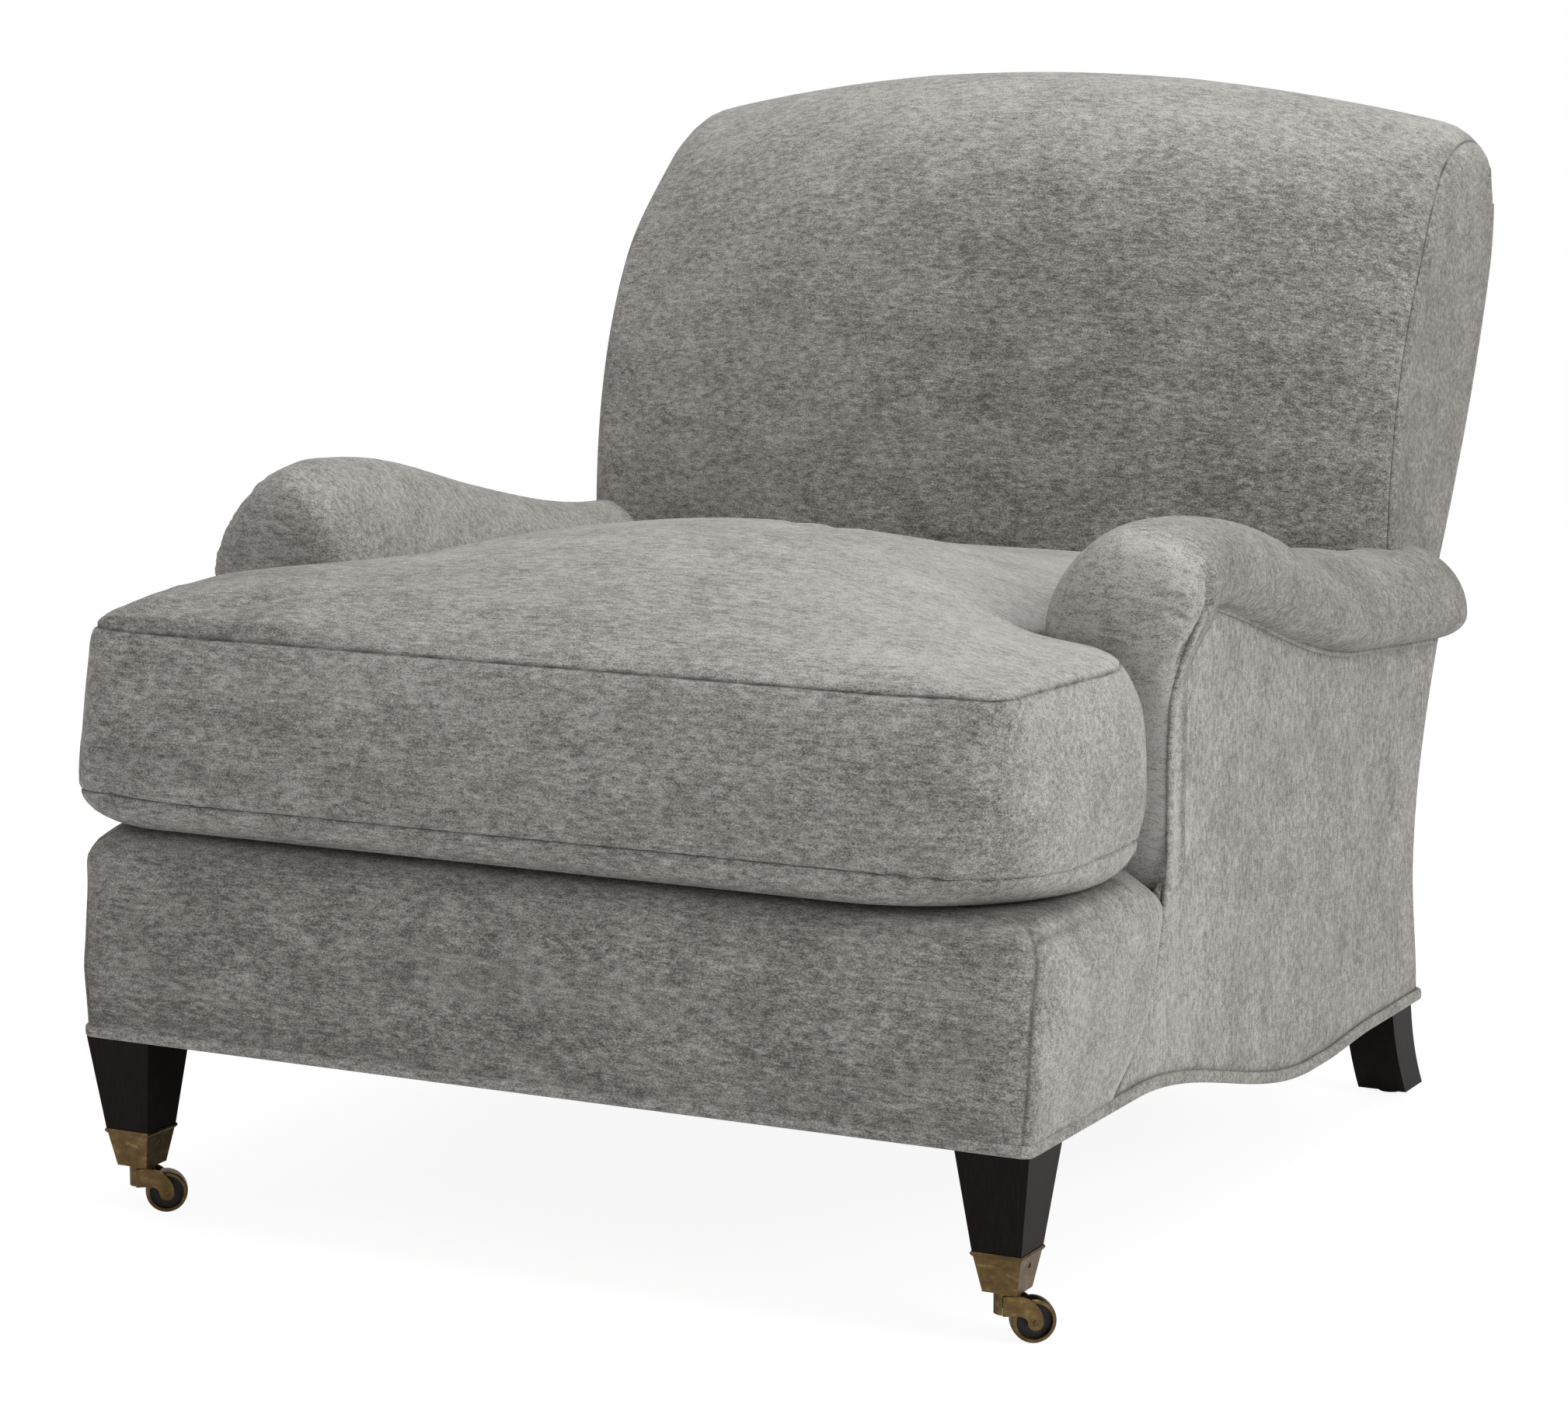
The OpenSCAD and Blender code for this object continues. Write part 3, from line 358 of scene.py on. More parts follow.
def sweep(path, section, closed=False, up=(0, 0, 1)):
    # Rings of a section (across, up) along a path
    path = np.asarray(path, float)
    if closed:
        along = np.roll(path, -1, 0) - np.roll(path, 1, 0)
    else:
        along = np.gradient(path, axis=0)
    along /= np.linalg.norm(along, axis=1, keepdims=True)
    across = np.cross(along, np.broadcast_to(np.array(up, float), along.shape))
    across /= np.linalg.norm(across, axis=1, keepdims=True)
    lift = np.cross(across, along)
    return (path[:, None] + across[:, None] * section[None, :, 0, None]
            + lift[:, None] * section[None, :, 1, None])


def arc(cx, cy, r, a0, a1, n):
    a = np.radians(np.linspace(a0, a1, n + 1))
    return np.stack([cx + r * np.cos(a), cy + r * np.sin(a)], 1)


def atHeight(outline, z):
    return np.concatenate([outline, np.broadcast_to(np.asarray(z, float), (len(outline),))[:, None]], 1)


def closedTop(rings, scales):
    # Closes the top with smaller copies of the last ring
    middle = rings[-1].mean(0)
    return np.array(rings + [middle + k * (rings[-1] - middle) for k in scales])


def coordinates(obj):
    return np.array([v.co for v in obj.data.vertices]) / mm


def setCoordinates(obj, points):
    obj.data.vertices.foreach_set("co", (points * mm).astype(np.float32).reshape(-1))
    obj.data.update()


def vertexNormals(obj):
    return np.array([v.normal for v in obj.data.vertices])


def setPaintedShading(obj, field):
    # Painted light and shade: field gives, from x, y and z, a step that makes the cloth's colour lighter or
    # darker
    if "paintedShading" not in obj.data.attributes:
        obj.data.attributes.new("paintedShading", "FLOAT", "POINT")
    values = np.broadcast_to(field(*coordinates(obj).T), (len(obj.data.vertices),))
    obj.data.attributes["paintedShading"].data.foreach_set("value", np.ascontiguousarray(values, np.float32))


def applyModifiers(obj):
    depsgraph = bpy.context.evaluated_depsgraph_get()
    mesh = bpy.data.meshes.new_from_object(obj.evaluated_get(depsgraph))
    obj.modifiers.clear()
    obj.data = mesh


def evenMesh(obj, voxel):
    remesh = obj.modifiers.new("even", "REMESH")
    remesh.mode = "VOXEL"
    remesh.voxel_size = voxel * mm


# Padded fabric: cloth under pressure on an evenly meshed copy, whose moves the piece then takes over

padding = {"frames": 20, "neighbours": 5, "blur": 0.8,
           "cloth": {"quality": 6, "mass": 0.35, "tension_stiffness": 18, "compression_stiffness": 18,
                     "shear_stiffness": 9, "bending_stiffness": 1.2, "use_pressure": True,
                     "uniform_pressure_force": 4, "vertex_group_mass": "held", "pin_stiffness": 5,
                     "air_damping": 2}}


def puff(obj, voxel, most, hold):
    # No point moves further than most, and hold says how firmly each is held
    copy = obj.copy()
    copy.data = obj.data.copy()
    copy.parent = None
    copy.name = obj.name + "Copy"
    bpy.context.scene.collection.objects.link(copy)
    evenMesh(copy, voxel)
    bpy.context.view_layer.update()
    applyModifiers(copy)
    start = np.array([v.co for v in copy.data.vertices])
    group = copy.vertex_groups.new(name="held")
    weights = np.clip(hold(*(start / mm).T), 0, 1)
    for i in np.nonzero(weights > 0.01)[0]:
        group.add([int(i)], float(weights[i]), "REPLACE")
    cloth = copy.modifiers.new("cloth", "CLOTH")
    for key, value in padding["cloth"].items():
        setattr(cloth.settings, key, value)
    cloth.settings.effector_weights.gravity = 0
    cloth.collision_settings.use_collision = False
    cloth.point_cache.frame_start = 1
    cloth.point_cache.frame_end = padding["frames"]
    for f in range(1, padding["frames"] + 1):
        bpy.context.scene.frame_set(f)
    depsgraph = bpy.context.evaluated_depsgraph_get()
    end = np.array([v.co for v in copy.evaluated_get(depsgraph).data.vertices])
    bpy.context.scene.frame_set(1)
    shift = end - start
    length = np.linalg.norm(shift, axis=1, keepdims=True)
    shift *= np.minimum(1, most * mm / np.maximum(length, 1e-9))
    tree = KDTree(len(start))
    for i, p in enumerate(start):
        tree.insert(p, i)
    tree.balance()
    for v in obj.data.vertices:
        near = tree.find_n(v.co, padding["neighbours"])
        w = [1 / (d + padding["blur"] * mm) ** 2 for _, _, d in near]
        v.co += Vector(sum(shift[i] * k for (_, i, _), k in zip(near, w)) / sum(w))
    bpy.data.objects.remove(copy)
    obj.data.update()
    say(f"{obj.name}: pressure moved it {length.max() / mm:.1f} mm at most, {length.mean() / mm:.1f} in the mean")


# Seat cushion. Corner radii and spreads are given at levels from 0, the belly, to 1, the upper seam

cushion = {"seamLow": 27.0, "boxing": 123.0, "crown": 60.0, "earRadius": 66.0, "drawnIn": 14.0, "columns": 184,
           "pucker": 0.8, "groove": 1.2, "edge": 4.0, "folds": 2.0, "voxel": 8, "move": 5,
           "levels": (0, 0.18, 0.35, 0.6, 0.85, 1), "rightCorner": (138, 86, 62, 54, 34, 20),
           "leftCorner": (56, 26, 24, 22, 18, 14), "margin": 5, "armGap": 9, "earGap": 8, "neckRadius": 14,
           "rearRadius": 30, "faint": 0.12, "seamFold": 13,
           "peak": {"share": 1.4, "y": -215, "long": 150, "wide": 190},
           # steps of painted light and shade on the cover
           "paintedShading": {"crown": 0.02, "right": 0.05, "left": 0.03, "rear": 0.025, "side": 0.03, "edge": 0.03,
                   "belly": 0.08, "boxingLeft": 0.011}}
cushionSeamZ = cushionLow[2] + cushion["seamLow"] + cushion["boxing"]


def cushionHalf(out, level, count, radii):
    # Half of the T-shaped outline, moved outwards by out; radii are the front corner's at the levels
    c = cushion
    wide = cushionHigh[0] - c["margin"] + out
    neck = armInnerX - c["armGap"] + out
    front = cushionLow[1] + c["margin"] - out
    ear = armY - c["earGap"] + out
    rear = cushionHigh[1] - c["margin"] + out
    r = np.interp(level, c["levels"], radii)
    q = c["earRadius"] + 16 * smooth((level - 0.75) / 0.25) + 28 * (1 - smooth(level / 0.35))
    inner, last = c["neckRadius"], c["rearRadius"]
    half = np.concatenate([[[0, front]], arc(wide - r, front + r, r, -90, 0, 16),
                           arc(wide - q, ear - q, q, 0, 90, 12),
                           arc(neck + inner, ear + inner, inner, -90, -180, 6),
                           arc(neck - last, rear - last, last, 0, 90, 8), [[0, rear]]])
    half = resample(half, count + 1)
    # The upper edge is drawn in at the ears, more so on the side with the rounder corner
    drawn = c["drawnIn"] * smooth((level - 0.2) / 0.7) * (radii[3] / 56) ** 2
    half[:, 0] -= drawn * smooth((half[:, 0] - neck + 40) / 60) * (1 - smooth((half[:, 1] - front - 20) / 150))
    return half


def cushionOutline(out, count, level=1.0):
    right = cushionHalf(out, level, count, cushion["rightCorner"])
    left = cushionHalf(out, level, count, cushion["leftCorner"])
    spread = np.interp(level, [0, 0.18, 0.5, 0.85, 1], [3, 5, 0, 0, 3])
    left[:, 0] += spread * smooth((left[:, 0] - armInnerX) / 60)
    return np.concatenate([right, (left * [-1, 1])[-2:0:-1]])


def crownField(count=96, rounds=1500):
    # Height of a stretched cover over the T-shaped outline, solved on a square grid and scaled to 1
    outline = cushionOutline(-2, cushion["columns"])
    low, high = outline.min(0) - 8, outline.max(0) + 8
    xs = np.linspace(low[0], high[0], count)
    ys = np.linspace(low[1], high[1], count)
    gx, gy = np.meshgrid(xs, ys)
    inside = np.zeros(gx.shape, bool)
    for a, b in zip(outline, np.roll(outline, -1, 0)):
        crosses = (a[1] > gy) != (b[1] > gy)
        with np.errstate(divide="ignore", invalid="ignore"):
            inside ^= crosses & (gx < (b[0] - a[0]) * (gy - a[1]) / (b[1] - a[1]) + a[0])
    peak = cushion["peak"]
    filling = 1.0 + peak["share"] * np.exp(-((gy - peak["y"]) / peak["long"]) ** 2 - (gx / peak["wide"]) ** 2)
    h = np.zeros(gx.shape)
    for _ in range(rounds):
        h[1:-1, 1:-1] = (0.25 * (h[:-2, 1:-1] + h[2:, 1:-1] + h[1:-1, :-2] + h[1:-1, 2:])
                         + filling[1:-1, 1:-1] * 0.001)
        h[~inside] = 0
    # A lower power fills the crown out: it is fuller in front to the left and falls away sooner at the rear
    power = (0.9 + 0.35 * smooth((gy + 230) / 240) + 0.08 * smooth((gx - 60) / 200)
             - 0.24 * smooth((-gx - 60) / 220) * (1 - smooth((gy + 60) / 150)))
    return xs, ys, (h / h.max()) ** power


def sampleField(field, x, y):
    xs, ys, h = field
    u = np.clip((x - xs[0]) / (xs[1] - xs[0]), 0, len(xs) - 1.001)
    v = np.clip((y - ys[0]) / (ys[1] - ys[0]), 0, len(ys) - 1.001)
    i, j = u.astype(int), v.astype(int)
    fu, fv = u - i, v - j
    return (h[j, i] * (1 - fu) * (1 - fv) + h[j, i + 1] * fu * (1 - fv)
            + h[j + 1, i] * (1 - fu) * fv + h[j + 1, i + 1] * fu * fv)


def cushionHold(x, y, z):
    # The cushion rests on the deck and is held between the arms; its right front corner is firm
    corner = 0.9 * smooth((x - 300) / 50) * smooth((-370 - y) / 60)
    return smooth((cushionLow[2] + 14 - z) / 8) + smooth((y - 60) / 60) + corner


def buildCushion():
    c = cushion
    base, zHigh = cushionLow[2], cushionSeamZ
    zLow = base + c["seamLow"]
    n = c["columns"]
    outline = cushionOutline(0, n, 0.2)
    field = crownField()
    centre = np.stack([0.006 * outline[:, 0], np.interp(outline[:, 1], [-505, armY - 8, armY + 6, 206],
                                                        [-400, -292, -280, 110])], 1)
    reach = np.linalg.norm(outline - centre, axis=1)
    rings, marks = [], []

    def add(xy, z, seam=0.0, pucker=0.0, folds=0.0):
        rings.append(atHeight(xy, z))
        marks.append((seam, pucker, folds))

    def radial(s, out, level):
        return centre + s * (cushionOutline(out, n, level) - centre)

    def side(z, out, seam=0.0, pucker=0.0):
        level = (z - base) / (c["seamLow"] + c["boxing"])
        add(cushionOutline(out, n, level), z, seam, pucker, hump(z, zLow, c["seamFold"]))

    def seamRings(z, below, at, above):
        # A sharp groove between two faintly dark rings; above is None where the crown follows
        side(z - 1.0, below, c["faint"], 1)
        side(z, at - c["groove"], 1, 1)
        if above is not None:
            side(z + 1.0, above, c["faint"], 1)

    for s in (0.0, 0.12, 0.25, 0.4, 0.55, 0.7, 0.82, 0.9):
        add(radial(s, -16, 0), base)
    belly = ((-17, 0.2), (-10.5, 1.6), (-5, 4.4), (-1, 8.0), (2.2, 12.2), (4.1, 16.6), (4.7, 20.6), (4.3, 23.8))
    for out, rise in belly:
        side(base + rise, out, 0, max(0, (rise - 6) / 21))
    seamRings(zLow, 3.5, 3.4, 3.6)
    for t in (0.025, 0.055, 0.1, 0.17, 0.26, 0.36, 0.46, 0.56, 0.66, 0.75, 0.83, 0.9, 0.945, 0.975):
        out = 4.2 * (1 - t) + 3.4 * math.sin(math.pi * t) ** 0.8 - 0.3 * t
        side(zLow + t * c["boxing"], out - c["edge"] * math.exp((t - 1) * c["boxing"] / 11),
             0, max(0, 1 - min(t, 1 - t) * 9))
    seamRings(zHigh, -0.2 - c["edge"] * 0.92, -0.5 - c["edge"], None)
    crownSteps = np.concatenate([[0.9965, 0.991, 0.982, 0.97, 0.955, 0.935, 0.91, 0.88, 0.845, 0.81],
                                 np.arange(77, 4, -4) / 100, [0.02, 0]])
    for s in crownSteps:
        xy = radial(s, -0.8 - c["edge"], 1)
        full = c["edge"] * (1.5 + 0.9 * smooth((-xy[:, 0] - 120) / 180) * (1 - smooth((xy[:, 1] + 330) / 80)))
        lift = full * (1 - np.exp((s - 1) * reach / 7)) * np.exp((s - 1) * reach / 150)
        fall = 1 - 0.4 * smooth((xy[:, 1] + 150) / 330)
        add(xy, zHigh + lift + c["crown"] * fall * sampleField(field, xy[:, 0], xy[:, 1]),
            c["faint"] if s == crownSteps[0] else 0, max(0, 1 - (1 - s) * 22))
    rings = np.array(rings)
    seam, pucker, folds = (np.array([mark[k] for mark in marks])[:, None] for k in range(3))
    length = np.concatenate([[0], np.cumsum(np.linalg.norm(np.diff(outline, axis=0), axis=1))])
    seam = seam * (0.62 + 0.25 * ripple(length, 9, 40))[None]
    # At the right front corner the lower seam fades into small folds
    faded = smooth((outline[:, 0] - 315) / 30) * (outline[:, 1] < -300)
    seam = seam * (1 - 0.8 * (folds > 0.5) * faded[None])
    wave = ripple(length, 5, 17) * (0.5 + 0.5 * np.abs(ripple(length, 6, 160)))
    corner = hump(outline[:, 0], 322, 55) * (outline[:, 1] < -400)
    rings += gridNormals(rings) * (pucker * c["pucker"] * wave[None]
                                   + folds * c["folds"] * (corner * ripple(length, 7, 19))[None])[..., None]
    rings[:, :, 2] = np.maximum(rings[:, :, 2], base)
    m = len(rings)
    faces = gridFaces(m, 2 * n)
    # Top and bottom are closed by strips across, from the right half to the left
    for j in (0, m - 1):
        for i in range(n):
            columns = (i, i + 1, (2 * n - i - 1) % (2 * n), (2 * n - i) % (2 * n))
            face = list(dict.fromkeys(j * 2 * n + k for k in columns))
            if len(face) > 2:
                faces.append(face)
    piece = makePiece("seatCushion", rings.reshape(-1, 3), faces, seam.reshape(-1), body="cushion")
    puff(piece, c["voxel"], c["move"], cushionHold)
    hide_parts("seat_cushion")
    return piece


def cushionShading(x, y, z):
    # Painted light and shade: the crown is painted lighter to the right and the rear, and so are the boxing's
    # sides and upper edge;
    # the belly gets painted shade where it rests
    step = cushion["paintedShading"]
    top = smooth((z - cushionSeamZ) / 6)
    side = smooth((np.abs(x) - 368) / 12) * (1 - top)
    edge = (1 - top) * (1 - smooth((cushionSeamZ - z) / 70)) * step["edge"]
    # Painted shade on the belly where it rests on the deck
    restShading = step["belly"] * (1 - smooth((z - cushionLow[2] - 2) / 9))
    crown = (step["crown"] + step["right"] * smooth((x - 40) / 240) - step["left"] * smooth((-x - 120) / 220)
             + step["rear"] * smooth((y + 430) / 160))
    left = step["boxingLeft"] * (1 - top) * smooth((-x - 60) / 200)
    return top * crown + step["side"] * side + edge - restShading - left


cushionPiece = buildCushion()
setPaintedShading(cushionPiece, cushionShading)
say("seat cushion")


# Backrest

back = {"crown": 40.0, "rise": 46.0, "endRadius": 13.0, "topRadius": 24.0, "groove": 1.2, "rear": 18.0,
        "columns": 120, "seamTurn": 44, "seamBeside": 2.5, "voxel": 9, "move": 6,
        # steps of painted light and shade
        "paintedShading": {"plain": 0.012, "face": 0.002, "right": 0.048, "top": 0.035}}
topZ = crestZ - back["rise"] + 1.5
postTop = topZ - 47
rearFoot = 386  # the backrest's rear cover starts here, above the outside back's wide part
frontPts = [[backY, 440], [backY, 600], [crestY - 211, 690], [crestY - 127, postTop + 20]]
topPts = [frontPts[3], [crestY - 90, topZ + 2], [crestY - 40, topZ + 8], [crestY - 8, topZ - 14]]


def backRear(z):
    # The rear line, filled out a little above the arms
    return rearLine(z) + back["rear"] * np.sin(np.pi * np.clip((z - 392) / (postTop - 392), 0, 1)) ** 0.6


def backRadius(z):
    # Radius of the backrest's side edges, wider at the top corners
    return back["endRadius"] + back["topRadius"] * smooth((z - topZ + 120) / 110)


def backProfile():
    front = [[backY, padZ + 2], [backY, 330], [backY, 390]]
    front = np.concatenate([front, bez(frontPts, np.linspace(0, 1, 30))])
    roof = bez(topPts, np.linspace(0.06, 1, 16))
    roof = np.concatenate([roof, [[crestY + 0.5, topZ - 28], [crestY, postTop]]])
    zs = np.linspace(postTop - 12, 100, 44)
    rear = np.stack([backRear(zs), zs], 1)[zs > rearFoot]
    bottom = np.array([[rearLine(rearFoot) - 60, rearFoot], [backY + 40, 300]])
    return resample(np.concatenate([front, roof, rear, bottom]), 190, True)


def backBulge(p, u):
    # Crowns the front and the top of the profile towards the middle, u = 0
    low = smooth((p[:, 1] - 250) / 200)
    front = 1 - smooth((p[:, 0] - backY - np.where(p[:, 1] > 560, (p[:, 1] - 560) * 0.75, 0)) / 150)
    rise = smooth((p[:, 1] - 540) / (postTop - 540))
    return np.stack([p[:, 0] - back["crown"] * (1 - np.abs(u) ** 2.4) * front * low,
                     p[:, 1] + back["rise"] * (1 - u * u) * rise], 1)


def backHold(x, y, z):
    # The backrest is held at its rear, at its foot and at its sides
    return (smooth((y - rearLine(z) + 70) / 40) + smooth((470 - z) / 60)
            + smooth((np.abs(x) - backHalf + 20) / 14))


def backShading(x, y, z):
    # Painted shade and light: its face is painted darker than the plain cloth, mostly to the right, and its top
    # lighter
    step = back["paintedShading"]
    face = smooth((topZ + 10 - z) / 80)
    front = step["face"] - step["right"] * smooth((x + 300) / 400)
    return step["plain"] + face * front + step["top"] * (1 - face)


def buildBack():
    profile = backProfile()
    u = np.linspace(-1, 1, back["columns"])
    u = np.sign(u) * (1 - (1 - np.abs(u)) ** 1.25)
    seamTurn, beside = back["seamTurn"], back["seamBeside"]
    edge = np.array([15, 30, seamTurn - beside, seamTurn, seamTurn + beside, 58, 70, 80])
    turns = np.radians(np.concatenate([-edge[::-1], np.zeros(len(u)), edge]))
    across = np.concatenate([-np.ones(len(edge)), u, np.ones(len(edge))])
    radius = backRadius(profile[:, 1])
    seamWeight = smooth((profile[:, 1] - 380) / 20) * (profile[:, 0] < rearLine(profile[:, 1]) - 30)
    rings, seam = [], []
    for value, turn in zip(across, turns):
        x = value * (backHalf - radius) + np.sin(turn) * radius
        p = backBulge(profile, x / backHalf)
        d = np.roll(p, -1, 0) - np.roll(p, 1, 0)
        normal = np.stack([d[:, 1], -d[:, 0]], 1)
        normal /= np.linalg.norm(normal, axis=1, keepdims=True) + 1e-9
        if normal[20, 0] > 0:
            normal = -normal
        marked = seamWeight * (abs(abs(math.degrees(turn)) - seamTurn) < 1)
        inset = (1 - math.cos(turn)) * radius + back["groove"] * marked
        q = p - normal * inset[:, None]
        rings.append(np.stack([x - np.sign(value) * back["groove"] * 0.7 * marked, q[:, 0], q[:, 1]], 1))
        seam.append(marked * (0.6 + 0.25 * ripple(profile[:, 1], 12, 30)))
    return np.array(rings), np.array(seam)


backPiece = tube("backrest", *buildBack())
puff(backPiece, back["voxel"], back["move"], backHold)
setPaintedShading(backPiece, backShading)
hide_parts("back_pad", "back_side_left", "back_side_right")
say("backrest")


# Arms

arm = {"voxel": 4.5, "smoothing": 5, "knobOut": 25.0, "over": 31.0, "end": 96.0, "shoulder": 78.0, "pleat": 0.9,
       "fold": 5.5, "puffVoxel": 6, "move": 2.5, "rounds": 26, "grow": 1.6, "leftCrest": 7, "rightFall": 8.5,
       "leftOut": ([395, 425, 447, 467, 486, 505, 525, armTop], [0, 18, 31, 19, 1, -12, -17, -15]),
       "underRoll": 22, "seeds": {"right": 21, "left": 33},
       # steps of painted light and shade
       "paintedShading": {"rightFront": 0.09, "leftFront": 0.03, "crest": 0.04, "roll": 0.03, "rightRoll": 0.06,
               "above": 0.035, "strip": 0.1}}
rollX = (rollLow[0] + rollHigh[0]) / 2
rollHalf = (rollHigh[0] - rollLow[0]) / 2
knobZ = armTop - 42
creaseY = armY - 3


def rollRing(y, k, count=96):
    # Section of the roll behind its knob, drawn about its middle and shrunk by k near the ends
    zb, zt = rollBase(y), rollCrest(y)
    deep = arm["underRoll"]
    zc = zb + deep
    a = np.radians(np.linspace(0, 90, 28))
    inner = np.stack([-rollHalf * np.cos(a) ** 1.3, zt - zc - arm["shoulder"] * (1 - np.sin(a) ** 1.3)], 1)
    top = np.stack([rollHalf * np.cos(a), (zt - zc) * np.sin(a)], 1)[-2::-1]
    b = np.radians(np.linspace(10, 90, 9))
    under = np.stack([panelX + 1 - rollX + arm["over"] * np.cos(b), -deep * np.sin(b)], 1)
    low = inner[0, 1] - 3
    tuck = rollLow[0] + 24 - rollX
    ring = np.concatenate([inner, top, under, [[tuck, -deep], [tuck, low], [1 - rollHalf, low]]])
    ring = resample(ring, count, True)
    return np.stack([rollX + k * ring[:, 0], np.full(count, float(y)), zc + k * ring[:, 1]], 1)


def rollSolid():
    # Both ends are rounded off: each pair is a scale and its distance from the end
    start, end = creaseY + 1, backY + arm["end"]
    frontEnd = ((0.90, 0), (0.95, 2), (0.98, 5), (0.995, 10))
    rearEnd = ((0.995, 54), (0.98, 42), (0.955, 31), (0.92, 21), (0.87, 12), (0.8, 5), (0.7, 1), (0.6, 0))
    rings = [rollRing(start + d, k) for k, d in frontEnd]
    rings += [rollRing(y, 1.0) for y in np.linspace(start + 16, backY + 30, 56)]
    rings += [rollRing(end - d, k) for k, d in rearEnd]
    return ringSolid(np.array(rings))


def knobSolid():
    # The arm's front: a strip that widens into the knob, as one outline seen from the front
    shoulderZ = armTop - arm["shoulder"]
    foot = padZ + 1

    def left(z):
        return armInnerX - 1 - 2 * smooth((z - 430) / 50)

    def right(z):
        return panelX + 3 + (rollHigh[0] - panelX - 3) * smooth((z - knobZ + 75) / 76)

    a = np.radians(np.linspace(0, 90, 28))
    lows, highs = np.linspace(foot, shoulderZ, 56), np.linspace(foot, knobZ, 64)
    inner = np.stack([rollX - rollHalf * np.cos(a) ** 1.3, armTop - arm["shoulder"] * (1 - np.sin(a) ** 1.3)],
                     1)
    outer = np.stack([rollX + rollHalf * np.cos(a), knobZ + (armTop - knobZ) * np.sin(a)], 1)[-2::-1]
    edge = np.concatenate([np.stack([left(lows), lows], 1)[:-1], inner, outer,
                           np.stack([right(highs), highs], 1)[-2::-1]])
    middle = np.stack([edge[:, 0], np.minimum(edge[:, 1], knobZ)], 1)
    middle[:, 0] = (left(middle[:, 1]) + right(middle[:, 1])) / 2
    lean = arm["knobOut"] * smooth((middle[:, 1] - 405) / (knobZ - 405))
    high = smooth((middle[:, 1] - 415) / 75)
    depth = 12 - 6.5 * smooth((edge[:, 0] - middle[:, 0]) / 20)
    depth = depth + high * (45 - 20 * smooth((edge[:, 0] - rollX) / 45) - depth)
    # How far the cover falls back from the middle, 0, to the edge, 1
    knob = ([0, 0.3, 0.5, 0.64, 0.76, 0.85, 0.92, 0.97, 1], [0, 0.015, 0.045, 0.085, 0.15, 0.25, 0.42, 0.66, 1])
    strip = ([0, 0.7, 0.78, 0.84, 0.89, 0.93, 0.965, 0.99, 1], [0, 0.03, 0.08, 0.16, 0.28, 0.42, 0.6, 0.82, 1])
    rear = armY + 30.0
    columns = []
    for k in np.concatenate([np.linspace(0, 0.6, 7)[:-1], np.linspace(0.6, 1, 18)]):
        dome = (1 - high) * np.interp(k, *strip) + high * np.interp(k, *knob)
        xz = middle + k * (edge - middle)
        columns.append(np.stack([xz[:, 0], armY - 1.5 - lean + dome * depth, xz[:, 1]], 1))
    last = columns[-1]
    for t in np.linspace(0.15, 1, 8):
        columns.append(np.stack([edge[:, 0], last[:, 1] + t * (rear - last[:, 1]), edge[:, 1]], 1))
    columns.append(np.stack([middle[:, 0], np.full(len(middle), rear), middle[:, 1]], 1))
    grid = np.array(columns)
    m, n = grid.shape[:2]
    faces = gridFaces(m, n, False)
    faces.append([j * n for j in range(m)] + [j * n + n - 1 for j in range(m - 1, -1, -1)])
    return grid.reshape(-1, 3), faces


def joinSolids(name, solids):
    points, faces, base = [], [], 0
    for solidPoints, solidFaces in solids:
        points.append(solidPoints)
        faces += [[base + k for k in face] for face in solidFaces]
        base += len(solidPoints)
    return newObject(name, np.concatenate(points), faces, merge=True)


def buildArm():
    obj = joinSolids("armRight", [rollSolid(), knobSolid()])
    evenMesh(obj, arm["voxel"])
    settle = obj.modifiers.new("settle", "SMOOTH")
    settle.factor = 0.5
    settle.iterations = arm["smoothing"]
    applyModifiers(obj)
    return obj


def relax(obj, weight, rounds, grow):
    # Rounds the mesh where weight is above zero, and moves it outwards again by grow
    points = coordinates(obj)
    edges = np.array([e.vertices[:] for e in obj.data.edges])
    amount = weight(*points.T)[:, None]
    count = np.bincount(edges.reshape(-1), minlength=len(points))[:, None]
    start = points.copy()
    for _ in range(rounds):
        total = np.zeros_like(points)
        for axis in range(3):
            total[:, axis] = (np.bincount(edges[:, 0], points[edges[:, 1], axis], len(points))
                              + np.bincount(edges[:, 1], points[edges[:, 0], axis], len(points)))
        points += 0.5 * amount * (total / count - points)
    setCoordinates(obj, points)
    setCoordinates(obj, points + vertexNormals(obj) * amount * grow)
    say(f"{obj.name}: rounded by {np.linalg.norm(points - start, axis=1).max():.1f} mm at most")


def knobWeight(x, y, z):
    # The edge between the knob's face and the roll, all round but at the outer fold
    near = smooth((armY + 70 - y) / 40) * smooth((z - 440) / 40)
    return near * (1 - 0.8 * smooth((x - rollX - 5) / 30) * (1 - smooth((z - 480) / 35)))


def crease(points, normals, path, depth, width, swell=0.35):
    # Presses a line into the cover along a path and raises its banks; it fades out at both ends
    path = resample(path, 40)
    near = np.linalg.norm(points[:, None] - path[None, ::4], axis=2).min(1) < width * 4 + 12
    picked = np.nonzero(near)[0]
    gaps = np.linalg.norm(points[picked][:, None] - path[None], axis=2)
    nearest = gaps.argmin(1)
    d = gaps[np.arange(len(picked)), nearest]
    t = nearest / (len(path) - 1)
    fade = smooth(t / 0.3) * smooth((1 - t) / 0.3)
    shift = (-depth * hump(d, 0, width) + swell * depth * hump(d, 2.1 * width, width)) * fade
    points[picked] += normals[picked] * shift[:, None]


